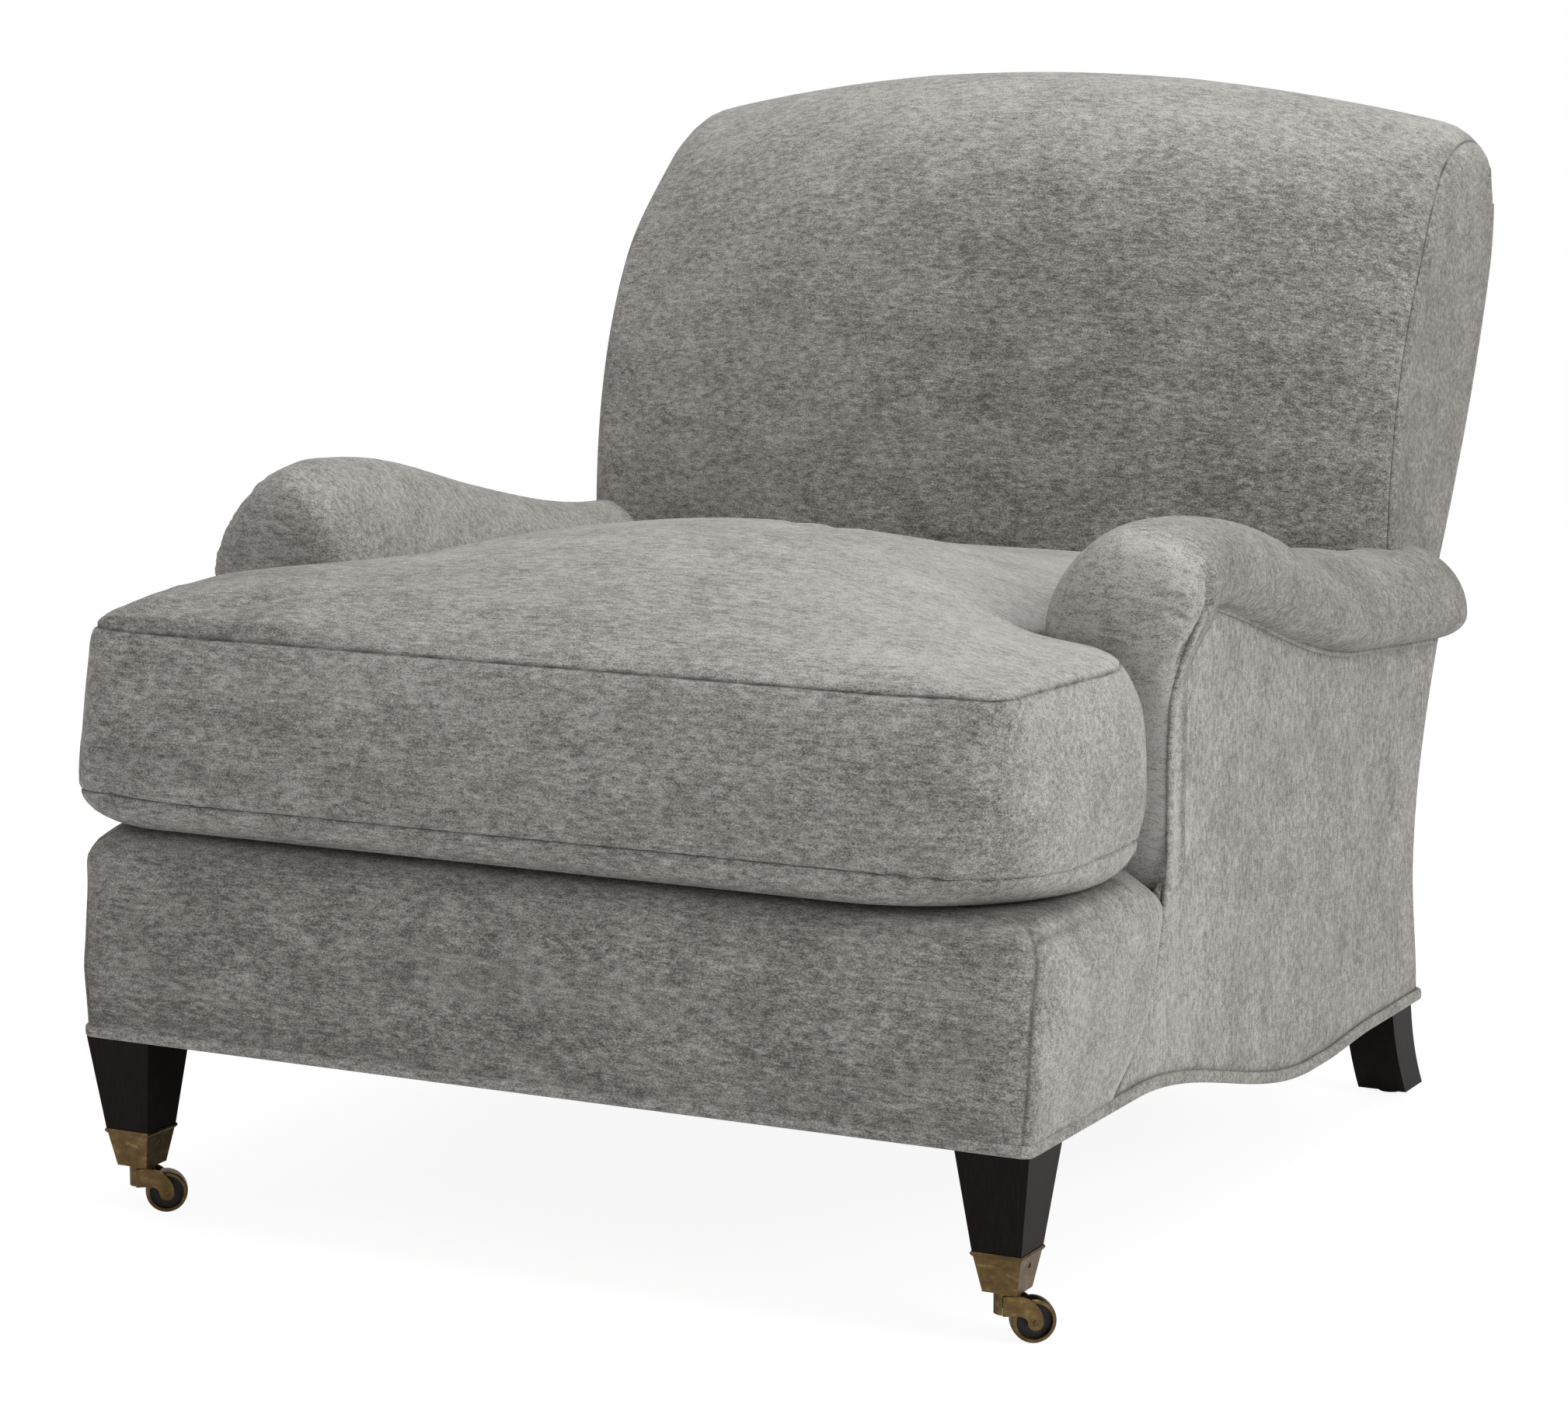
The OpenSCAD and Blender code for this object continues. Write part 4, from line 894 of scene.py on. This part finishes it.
# Wrinkles on the knobs, with both drawn on the right side: the points of each line, its depth and its width
armCreases = {
    "right": [([[408, -278, 511], [396, -280, 524], [379, -279, 531]], 1.6, 3.0),
              ([[417, -268, 497], [411, -274, 512], [400, -277, 522]], 1.5, 2.6),
              ([[413, -268, 486], [401, -279, 494], [384, -282, 500], [368, -282, 505]], 1.7, 3.2),
              ([[410, -266, 476], [400, -277, 483], [386, -280, 488]], 1.5, 2.8),
              ([[331, -276, 470], [352, -278, 468], [382, -276, 459]], 1.6, 3.0),
              ([[338, -275, 461], [360, -277, 456], [374, -276, 452]], 1.3, 2.6),
              ([[404, -262, 462], [396, -270, 467], [386, -275, 470]], 1.3, 2.6)],
    "left": [([[330, -277, 505], [350, -281, 509], [372, -281, 512]], 1.3, 3.2),
             ([[312, -272, 486], [332, -280, 489], [352, -282, 487]], 1.4, 3.0),
             ([[412, -268, 484], [400, -277, 492], [384, -281, 497]], 1.5, 3.0),
             ([[408, -272, 511], [396, -279, 521], [381, -278, 529]], 1.4, 3.0),
             ([[318, -268, 462], [340, -275, 465], [366, -277, 461]], 1.4, 3.0)]}


def gathers(points, normals, seed):
    # Fine gathers that spread from the crease, where the front's cover is drawn round the knob
    x, y, z = points.T
    angle = np.arctan2(z - knobZ + 22, x - rollX - 20)
    wave = ripple(angle * 60, seed, 13) + 0.5 * ripple(angle * 60 + 40, seed + 1, 6)
    near = np.exp(-np.maximum(0, creaseY - y) / 13) * smooth((creaseY + 2 - y) / 5)
    outer = smooth((angle + 1.0) / 0.5) * smooth((x - rollX + 10) / 40)
    return points + normals * (arm["pleat"] * wave * near * outer)[:, None]


def foldLine(points, normals):
    # Groove where the front's cover meets the roll's, with raised banks, fading over the top
    x, y, z = points.T
    side = smooth((x - rollX - 4) / 34) * smooth((z - 430) / 30) * (1 - smooth((z - 504) / 20))
    d = y - creaseY
    groove = -arm["fold"] * hump(d, 0, 3.6) + 1.8 * hump(d, -9, 6) + 1.5 * hump(d, 9, 6)
    return points + normals * (groove * side)[:, None]


def finishArm(obj, side):
    fine = obj.modifiers.new("fine", "SUBSURF")
    fine.levels = 1
    fine.render_levels = 1
    applyModifiers(obj)
    points, normals = coordinates(obj), vertexNormals(obj)
    points = foldLine(gathers(points, normals, arm["seeds"][side]), normals)
    for path, depth, width in armCreases[side]:
        crease(points, normals, path, depth, width)
    setCoordinates(obj, points)


def flip(obj):
    setCoordinates(obj, coordinates(obj) * [-1, 1, 1])
    obj.data.flip_normals()


def mirrored(obj, name):
    mesh = obj.data.copy()
    mesh.name = name
    twin = bpy.data.objects.new(name, mesh)
    bpy.context.scene.collection.objects.link(twin)
    flip(twin)
    return twin


def fuller(points):
    # The left front hangs lower outside and its crest is rounder
    x, y, z = points.T
    front = 1 - smooth((y + 250) / 60)
    outer = smooth((x - rollX + 25) / 60)
    crest = smooth((z - 470) / 60) * (1 - smooth((y + 160) / 170)) * smooth((rollX + 70 - x) / 50)
    out = np.interp(z, *arm["leftOut"])
    return points + np.stack([out * front * outer, 0 * y, arm["leftCrest"] * crest], 1)


def flatter(points):
    # The right roll drops a little faster behind its knob
    y, z = points[:, 1], points[:, 2]
    fall = arm["rightFall"] * hump(y, 22, 62) * smooth((z - rollBase(y) - 8) / 40)
    return points - np.stack([0 * y, 0 * y, fall], 1)


def armHold(x, y, z):
    # The arm is held by the backrest and where it meets the panels
    return (smooth((y - backY + 20) / 30) + smooth((430 - z) / 20)
            + smooth((rollBase(y) - 4 - z) / 10) * (y > armY))


def armShading(x, y, z):
    # Painted light and shade: the front's cover is painted lighter than the roll's, most of all on the right
    # arm's crest and strip
    step = arm["paintedShading"]
    front = smooth((creaseY + 26 - y) / 54)
    right = smooth(x / 60)
    strip = (1 - smooth((z - 415) / 50)) * smooth((x - armInnerX - 14) / 50)
    crest = right * smooth((z - 495) / 35) * smooth((x - rollX + 20) / 40)
    above = right * smooth((z - rollCrest(y) + 22) / 20)
    knob = step["rightFront"] * right + step["leftFront"] * (1 - right) + step["crest"] * crest
    roll = step["roll"] - step["rightRoll"] * right + step["above"] * above
    return front * knob + (1 - front) * roll + step["strip"] * strip * smooth((armY + 16 - y) / 12)


armRight = buildArm()
puff(armRight, arm["puffVoxel"], arm["move"], armHold)
relax(armRight, knobWeight, arm["rounds"], arm["grow"])
armLeft = mirrored(armRight, "armLeft")
setCoordinates(armRight, flatter(coordinates(armRight)))
finishArm(armRight, "right")
flip(armLeft)
setCoordinates(armLeft, fuller(coordinates(armLeft)))
finishArm(armLeft, "left")
flip(armLeft)
for side, obj in (("right", armRight), ("left", armLeft)):
    dress(obj)
    setPaintedShading(obj, armShading)
    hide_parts("arm_roll_" + side, "arm_front_" + side)
say("arms")


# Inside arm covers, between the roll and the deck, and the deck's padding

inside = {"depth": 22, "foot": 5, "count": 60}
deck = {"rearRadius": 26, "frontRadius": 14, "count": 220}


def insideArm(side):
    rings = []
    face, deep, count = armInnerX + 1.0, inside["depth"], inside["count"]
    for y in np.linspace(armY + 4, backY + 20, count):
        z0, z1 = deckZ + 0.5, rollCrest(y) - arm["shoulder"] - 2
        outline = resample([[face + 4, z0], [face, z0 + inside["foot"]], [face - 0.5, (z0 + z1) / 2],
                            [face, z1], [face + deep, z1], [face + deep, z0]], count, True)
        rings.append(np.stack([side * outline[:, 0], np.full(count, y), outline[:, 1]], 1))
    return np.array(rings)


def buildDeck():
    # Flat under the loose cushion; its upper edge is rounded by rings of a height and an inset
    low, high = corners("deck_pad")
    top, foot = high[2], low[2]
    edge = ((foot + 0.5, 3), (foot + 2, 1), (foot + 6, 0), (top - 9, 0), (top - 5, 0.8), (top - 2.2, 2.6),
            (top - 0.7, 5.4), (top - 0.2, 8.5), (top - 0.1, 13))
    r, q = deck["rearRadius"], deck["frontRadius"]
    rings = []
    for z, inset in edge:
        rear = arc(high[0] - r, high[1] - r, r - inset, 0, 90, 12)
        front = arc(high[0] - q, low[1] + q, q - inset, -90, 0, 8)
        ring = np.concatenate([rear, (rear * [-1, 1])[::-1], (front * [-1, 1])[::-1], front])
        rings.append(atHeight(resample(ring, deck["count"], True), z))
    return closedTop(rings, (0.9, 0.75, 0.55, 0.35, 0.15))


for side, name in ((1, "Right"), (-1, "Left")):
    piece = tube("insideArm" + name, insideArm(side))
    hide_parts("inside_arm_" + name.lower())
deckPiece = tube("deckPad", buildDeck())
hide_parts("deck_pad")


# Outside arm panels, with the welt under the roll and the one down the arm's front

panel = {"puff": 2.2, "edge": 5.0, "depth": 7.0, "tuck": 14, "rise": 4, "over": 3, "welt": 2.7,
         "weltFlat": 0.85, "frontWelt": 3.3,
         # steps of painted light and shade; frontWelt is the welt's painted light
         "paintedShading": {"plain": 0.01, "front": 0.03, "shade": 0.17, "frontWelt": 0.05}}
creasePts = [[armY - 97, frontClear + 11], [armY - 60, frontClear + 34], [armY - 25, frontClear + 70],
             [armY - 16, padZ]]
creaseCurve = bez(creasePts, np.linspace(0, 1, 60))


def creaseAt(z):
    # Where the block's rear edge meets the panel
    return np.interp(z, creaseCurve[:, 1], creaseCurve[:, 0])


def panelSurface(side, m=90, n=150):
    # Grid between the hem and the roll; its front edge tucks in behind the arm's front and the base's block
    t = np.linspace(0, 1, m)
    s = np.linspace(0, 1, n)
    y = np.zeros((m, n))
    z = np.zeros((m, n))
    lift, over = panel["rise"], panel["over"]
    for j, tj in enumerate(t):
        zRear = hemZ(rearY) + lift + tj * (rollBase(rearY + 30) + over - hemZ(rearY) - lift)
        zFront = hemZ(armY - 60) + tj * (rollBase(armY + 20) - hemZ(armY - 60))
        front = creaseAt(zFront) - panel["tuck"]
        front = front + (armY + 4 - front) * smooth((zFront - padZ + 16) / 36)
        y[j] = front + s * (rearLine(zRear) - front)
        low = hemZ(y[j]) + lift
        high = rollBase(np.maximum(y[j], armY + 20)) + over
        z[j] = low + tj * (high - low)
    body = np.sin(np.pi * np.clip(t, 0, 1))[:, None] ** 0.6 * np.sin(np.pi * s)[None, :] ** 0.6
    drop = panel["edge"] * (1 - np.minimum(1, ((1 - s) * (n - 1) / 3.2))) ** 2
    x = panelX - 1.2 + panel["puff"] * body
    x = x - drop[None, :] - 3.5 * (np.maximum(0, 1 - t * m / 3) ** 2)[:, None]
    x = x + 0.5 * ripple(z, 11, 120) * hump(s, 0.02, 0.12)[None, :]
    return np.stack([side * x, y, z], 2)


def slabFrom(grid, depth, name):
    # Closes a grid into a thin solid by giving it a flat back
    m, n = grid.shape[:2]
    k = m * n
    backGrid = grid.copy()
    backGrid[..., 0] = np.sign(grid[..., 0].mean()) * depth
    points = np.concatenate([grid.reshape(-1, 3), backGrid.reshape(-1, 3)])
    faces = gridFaces(m, n, False)
    faces += [tuple(k + i for i in reversed(face)) for face in gridFaces(m, n, False)]
    loop = (list(range(n)) + [j * n + n - 1 for j in range(1, m)]
            + [(m - 1) * n + i for i in range(n - 2, -1, -1)] + [j * n for j in range(m - 2, 0, -1)])
    faces += [(a, k + a, k + b, b) for a, b in zip(loop, loop[1:] + loop[:1])]
    return makePiece(name, points, faces, material=velvetPanel)


def weltPath(side):
    y = np.linspace(armY + 10, backY + 68, 150)
    z = rollBase(np.maximum(y, armY + 12)) - 1.5 - 14 * (1 - smooth((y - armY - 4) / 26))
    return np.stack([side * (panelX + 0.8 + 0 * y), y, z], 1)


def frontWeltPath(side):
    # Down the outer edge of the arm's front, from the roll's seam to the base's block
    upper = [[24, creaseY + 4, armTop - 58], [20, armY + 1, armTop - 68], [11, armY + 2.5, armTop - 87],
             [4.2, armY + 3, armTop - 107], [0.4, armY + 2.4, armTop - 124], [-0.8, armY + 1.6, armTop - 160],
             [-0.8, armY + 1.6, deckZ + 24], [0.6, armY - 1, deckZ + 6]]
    lower = ((2.4, deckZ - 10), (2.4, padZ - 12), (2.2, padZ - 32), (1.7, padZ - 52), (0.8, padZ - 70),
             (-2.8, padZ - 88))
    points = [[panelX + out, y, z] for out, y, z in upper]
    points += [[panelX + out, creaseAt(z) + 3.5 + 5 * smooth((z - padZ) / 12), z] for out, z in lower]
    return resample(points, 120) * [side, 1, 1]


def panelShading(x, y, z):
    # Painted shade just behind the block's edge, and painted a little lighter towards the front
    step = panel["paintedShading"]
    shade = step["shade"] * hump(y - creaseAt(z), 2, 6) * (z < padZ + 4)
    return step["plain"] + step["front"] * (1 - smooth((y - armY - 30) / 120)) - shade


def frontWeltShading(x, y, z):
    # Painted light: the welt is painted a little lighter all along
    return panel["paintedShading"]["frontWelt"] + 0 * x


for side, name in ((1, "Right"), (-1, "Left")):
    piece = slabFrom(panelSurface(side), panelX - panel["depth"], "outsideArm" + name)
    setPaintedShading(piece, panelShading)
    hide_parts("outside_arm_" + name.lower())
    a = np.radians(np.arange(0, 360, 30))
    section = np.stack([panel["welt"] * panel["weltFlat"] * np.cos(a), panel["welt"] * np.sin(a)], 1)
    tube("armWelt" + name, sweep(weltPath(side), section))
    section *= panel["frontWelt"] / panel["welt"]
    setPaintedShading(tube("frontWelt" + name, sweep(frontWeltPath(side), section, up=(0, 1, 0))), frontWeltShading)
say("outside arms")


# Base: block in front, hem and outside back

base = {"out": 6.0, "cornerRadius": 9.0, "cornerGrowth": 14, "topRadius": 27.0, "rearRadius": 15.0, "puff": 3.0,
        "groove": 1.1, "slope": 13.0, "voxel": 8, "move": 3, "frontSeam": 0.65, "sideSeam": 0.45,
        "seamRing": 22,
        # steps of painted light and shade
        "paintedShading": {"face": 0.022, "left": 0.014, "low": 0.012, "side": 0.03, "ledge": 0.1, "rearEdge": 0.07}}
blockColumns = {"front": 56, "corner": 10, "side": 26}


def blockRing(z, inset):
    # Half outline from the middle of the front to the tuck behind the right side, mirrored to a closed ring
    rearEnd = creaseAt(z) + 6 * smooth((z - padZ) / 10)
    share = (z - frontClear - 11) / (padZ + 20 - frontClear - 11)
    bulge = max(base["puff"] * (1 - (share * 2 - 1) ** 2), 0)
    wide = panelX + 1.0 + base["out"] * smooth((z - frontClear - 8) / 60) - inset
    f = borderY - 0.3 + inset
    high = smooth((z - frontClear - 40) / (padZ - frontClear - 30))
    c = base["cornerRadius"] + base["cornerGrowth"] * high + inset * 0.6
    seamTurn = -80 + 36 * high  # the seam climbs to the corner's middle
    r = base["rearRadius"] * (0.35 + 0.65 * smooth((z - frontClear - 15) / 70))
    xs = np.concatenate([np.linspace(0, wide - 60, 46), np.linspace(wide - 56, wide - c, 10)])
    front = np.stack([xs, f - bulge * 0.5 * np.cos(xs / wide * math.pi / 2) ** 0.5], 1)
    turns = ((-90, seamTurn), (seamTurn, 0))
    corner = np.concatenate([arc(wide - c, f + c, c, *turn, 5)[1:] for turn in turns])
    ys = np.linspace(f + c + 4, rearEnd - r, blockColumns["side"])
    side = np.stack([wide + bulge * 0.6 * np.sin((ys - f - c) / (rearEnd - r - f - c) * math.pi) ** 0.7, ys], 1)
    turn = arc(wide - r, rearEnd - r, r, 0, 90, 10)[1:]
    tail = np.array([[min(wide - r - 6, panelX - 8 - inset), rearEnd], [panelX - 40 - inset, rearEnd]])
    half = np.concatenate([front, corner, side, turn, tail])
    return atHeight(np.concatenate([half, (half * [-1, 1])[:0:-1]]), float(z))


def buildBlock():
    z0, z1 = frontClear + 5, deckZ - 0.4
    r = base["topRadius"]
    rings = [(z0, 0.9), (z0 + 1.5, 0.25)] + [(z, 0.0) for z in (z0 + 4, *np.linspace(z0 + 9, z1 - r, 17))]
    for a in np.radians([12, 24, 36, 48, 60, 70, 80, 88]):
        rings.append((z1 - r + r * math.sin(a), r * (1 - math.cos(a))))
    grid = closedTop([blockRing(min(z, z1), inset) for z, inset in rings], (0.94, 0.8, 0.6, 0.4, 0.2))
    seamColumn = blockColumns["front"] + blockColumns["corner"] // 2
    seam = np.zeros(grid.shape[:2])
    normals = gridNormals(grid)
    count = grid.shape[1]
    fade = 1 - smooth((np.arange(len(grid)) - base["seamRing"]) / 5)
    for column in (seamColumn, count - seamColumn):
        seam[:, column] = base["frontSeam"] * fade
        grid[:, column] -= normals[:, column] * (base["groove"] * fade)[:, None]
    # The side covers' upper seam runs on from there and fades towards the arm
    along = np.arange(seamColumn, sum(blockColumns.values()))
    for column in np.concatenate([along, count - along]):
        run = min(column, count - column) - seamColumn
        seam[base["seamRing"], column % count] = base["sideSeam"] * (1 - abs(run) / len(along))
    return tube("baseBlock", grid, seam)


def baseShading(x, y, z):
    # Painted shade and light: the front is painted darker, most of all low down and to the left, the sides and
    # the rear edge lighter, and the ledge's top darker where the cushion rests
    step = base["paintedShading"]
    front = smooth((borderY + 14 - y) / 10)
    # Painted shade on the ledge where the cushion rests, and a painted highlight along the block's rear edge
    restShading = step["ledge"] * smooth((z - deckZ + 8) / 7)
    restShading = restShading - step["rearEdge"] * hump(y - creaseAt(z), -8, 7) * (np.abs(x) > panelX - 2)
    face = -step["face"] - step["left"] * smooth((150 - x) / 400) - step["low"] * smooth((250 - z) / 120)
    return front * face + step["side"] * (1 - front) - restShading


def blockHold(x, y, z):
    # The block is held along the hem, by the arms and on the ledge
    return (smooth((frontClear + 30 - z) / 15) + smooth((y - armY + 60) / 30)
            + smooth((z - deckZ + 6) / 4) * (y > borderY + 40))


def slopedLedge(points):
    # The ledge's rear outer corners fall away towards the panels
    x, y, z = points.T
    corner = smooth((np.abs(x) - 335) / 45) * smooth((y - armY + 75) / 60) * smooth((z - padZ + 30) / 40)
    return points - np.stack([0 * x, 0 * x, base["slope"] * corner], 1)


blockPiece = buildBlock()
puff(blockPiece, base["voxel"], base["move"], blockHold)
setCoordinates(blockPiece, slopedLedge(coordinates(blockPiece)))
setPaintedShading(blockPiece, baseShading)
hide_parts("front_border", "border_side_left", "border_side_right", "ledge_pad")

hem = {"halfWide": 2.4, "halfHigh": 4.6, "radius": 7}


def hemPath():
    wide, front, rear, r = panelX + 0.5, borderY + 0.5, rearY - 1, hem["radius"]
    half = np.concatenate([np.stack([np.linspace(0, wide - r - 2, 60), np.full(60, front)], 1),
                           arc(wide - r, front + r, r, -90, 0, 6),
                           np.stack([np.full(120, wide), np.linspace(front + r + 3, rearY - r - 2, 120)], 1),
                           arc(wide - r, rear - r, r, 0, 90, 6),
                           np.stack([np.linspace(wide - r - 3, 0, 40), np.full(40, rear)], 1)])
    full = np.concatenate([half, (half * [-1, 1])[-2:0:-1]])
    return atHeight(full, hemZ(full[:, 1]) + hem["halfHigh"])


def hemSection():
    # A rounded rectangle
    a = np.radians(np.arange(0, 360, 20))
    return np.stack([hem["halfWide"] * np.sign(np.cos(a)) * np.abs(np.cos(a)) ** 0.7,
                     hem["halfHigh"] * np.sign(np.sin(a)) * np.abs(np.sin(a)) ** 0.75], 1)


hemRings = sweep(hemPath(), hemSection(), closed=True)
hemPiece = makePiece("hemWelt", hemRings.reshape(-1, 3), gridFaces(*hemRings.shape[:2], looped=True))
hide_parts("base_hem")

outside = {"split": 393, "puff": 2.0, "columns": 121, "edgeRadius": 6.0, "lowDepth": 7.0, "highDepth": 16.0}


def buildRear():
    # Outside back: wide between the arms, narrower behind the backrest
    count = outside["columns"]
    xs = np.linspace(-1, 1, count)
    rings = []
    for z in np.concatenate([np.linspace(rearClear + 4, 392, 50), np.linspace(396, postTop - 16, 70)]):
        if z < outside["split"]:
            w, radius, depth = panelX - 3, outside["edgeRadius"], outside["lowDepth"]
        else:
            w, radius, depth = backHalf - 0.4, float(backRadius(z)), outside["highDepth"]
        y = float(backRear(z)) + 0.5
        s = np.clip((np.abs(xs) * w - w + radius) / radius, 0, 0.93)
        outer = np.stack([xs * w, y + outside["puff"] * (1 - xs ** 2) - radius * (1 - np.sqrt(1 - s * s))], 1)
        inner = np.stack([xs[::-1] * w, np.minimum(y - depth, outer[::-1, 1] - 3)], 1)
        rings.append(atHeight(np.concatenate([outer, inner]), z))
    return np.array(rings)


rearPiece = tube("outsideBack", buildRear(), material=velvetPanel)
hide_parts("outside_back")
say("base")


# Parts that keep their solids

finishes = {"beech": beech, "espresso_wood": espresso, "antique_brass": brass, "wheel_core": darkCore,
            "spring_steel": steel, "zinc_steel": steel, "webbing": webbing, "black_glide": felt,
            "cover_cloth": dustCloth, "foam": foam, "zip_tape": webbing, "velvet": velvet}
slots = {part["node"]: part["material_slot"] for part in frame["record"]["subparts"]}
for node, obj in frame["nodes"].items():
    obj.data.materials.clear()
    obj.data.materials.append(finishes[slots[node]])


# Stage, lights and camera; places in metres, power in watts

studio = {"floor": "#ffffff", "floorHalf": 8, "floorGlow": 1.12, "glowShare": 0.82, "world": 0.42,
          "lamps": {"key": ((3.3, -0.9, 2.0), 0.4, (1.6, 1.6), 52.0),
                    "fill": ((-2.4, -3.4, 1.8), 0.4, (2.0, 2.0), 5.0),
                    "top": ((0.3, 0.1, 3.0), 0.4, (2.2, 2.2), 34.0),
                    "back": ((-0.5, 2.6, 2.0), 0.5, (1.8, 1.2), 8.0)}}


def lamp(name, place, aim, size, power):
    # A rectangular lamp that looks at the chair at the height aim
    data = bpy.data.lights.new(name, "AREA")
    data.energy = power
    data.shape = "RECTANGLE"
    data.size, data.size_y = size
    obj = bpy.data.objects.new(name, data)
    bpy.context.scene.collection.objects.link(obj)
    obj.location = place
    obj.rotation_euler = (Vector((0, 0, aim)) - Vector(place)).to_track_quat("-Z", "Y").to_euler()


def seenDirectly(tree):
    # 1 where the camera sees the surface, also through something clear
    ray = addNode(tree, "ShaderNodeLightPath").outputs
    return addNode(tree, "ShaderNodeMath", {0: ray["Is Camera Ray"], 1: ray["Is Transmission Ray"]},
                   operation="MAXIMUM").outputs[0]


def buildFloor():
    # Matt white paper: its glow is for the camera only and leaves a faint shadow under the chair
    material, tree, shader = startMaterial("floorWhite")
    setInputs(tree, shader, {"Base Color": colour(studio["floor"]), "Roughness": 0.9})
    glow = addNode(tree, "ShaderNodeEmission", {"Strength": studio["floorGlow"]})
    share = addNode(tree, "ShaderNodeMath", {0: seenDirectly(tree), 1: studio["glowShare"]},
                    operation="MULTIPLY")
    surfaces = {0: share.outputs[0], 1: shader.outputs[0], 2: glow.outputs[0]}
    mixed = addNode(tree, "ShaderNodeMixShader", surfaces)
    setInputs(tree, tree.nodes["Material Output"], {"Surface": mixed.outputs[0]})
    h = studio["floorHalf"]
    mesh = bpy.data.meshes.new("floor")
    mesh.from_pydata([(-h, -h, 0), (h, -h, 0), (h, h, 0), (-h, h, 0)], [], [(0, 1, 2, 3)])
    mesh.materials.append(material)
    floor = bpy.data.objects.new("floor", mesh)
    bpy.context.scene.collection.objects.link(floor)


def buildWorld():
    # White behind the chair, and a dimmer even light on it
    world = bpy.data.worlds.new("studio")
    bpy.context.scene.world = world
    world.use_nodes = True
    tree = world.node_tree
    strength = addNode(tree, "ShaderNodeMapRange", {"Value": seenDirectly(tree), "To Min": studio["world"],
                                                    "To Max": 1.0})
    setInputs(tree, tree.nodes["Background"], {"Strength": strength.outputs[0], "Color": (1, 1, 1, 1)})


buildFloor()
buildWorld()
for name, values in studio["lamps"].items():
    lamp(name, *values)

# Place in metres, turn and tilt in radians, lens and sensor in millimetres
camera = {"place": (1.58675, -3.20516, 0.94507), "turn": 0.4730073, "tilt": 0.1659511, "lens": 103.548,
          "sensor": 36}
cameraData = bpy.data.cameras.new("camera")
cameraObj = bpy.data.objects.new("camera", cameraData)
bpy.context.scene.collection.objects.link(cameraObj)
cameraData.sensor_width = camera["sensor"]
cameraData.lens = camera["lens"]
cameraData.clip_end = 100
cameraObj.rotation_mode = "XYZ"
cameraObj.location = camera["place"]
cameraObj.rotation_euler = (math.pi / 2 - camera["tilt"], 0, camera["turn"])
bpy.context.scene.camera = cameraObj
bpy.context.scene.view_settings.view_transform = "Standard"

bpy.context.view_layer.update()
say("stage")
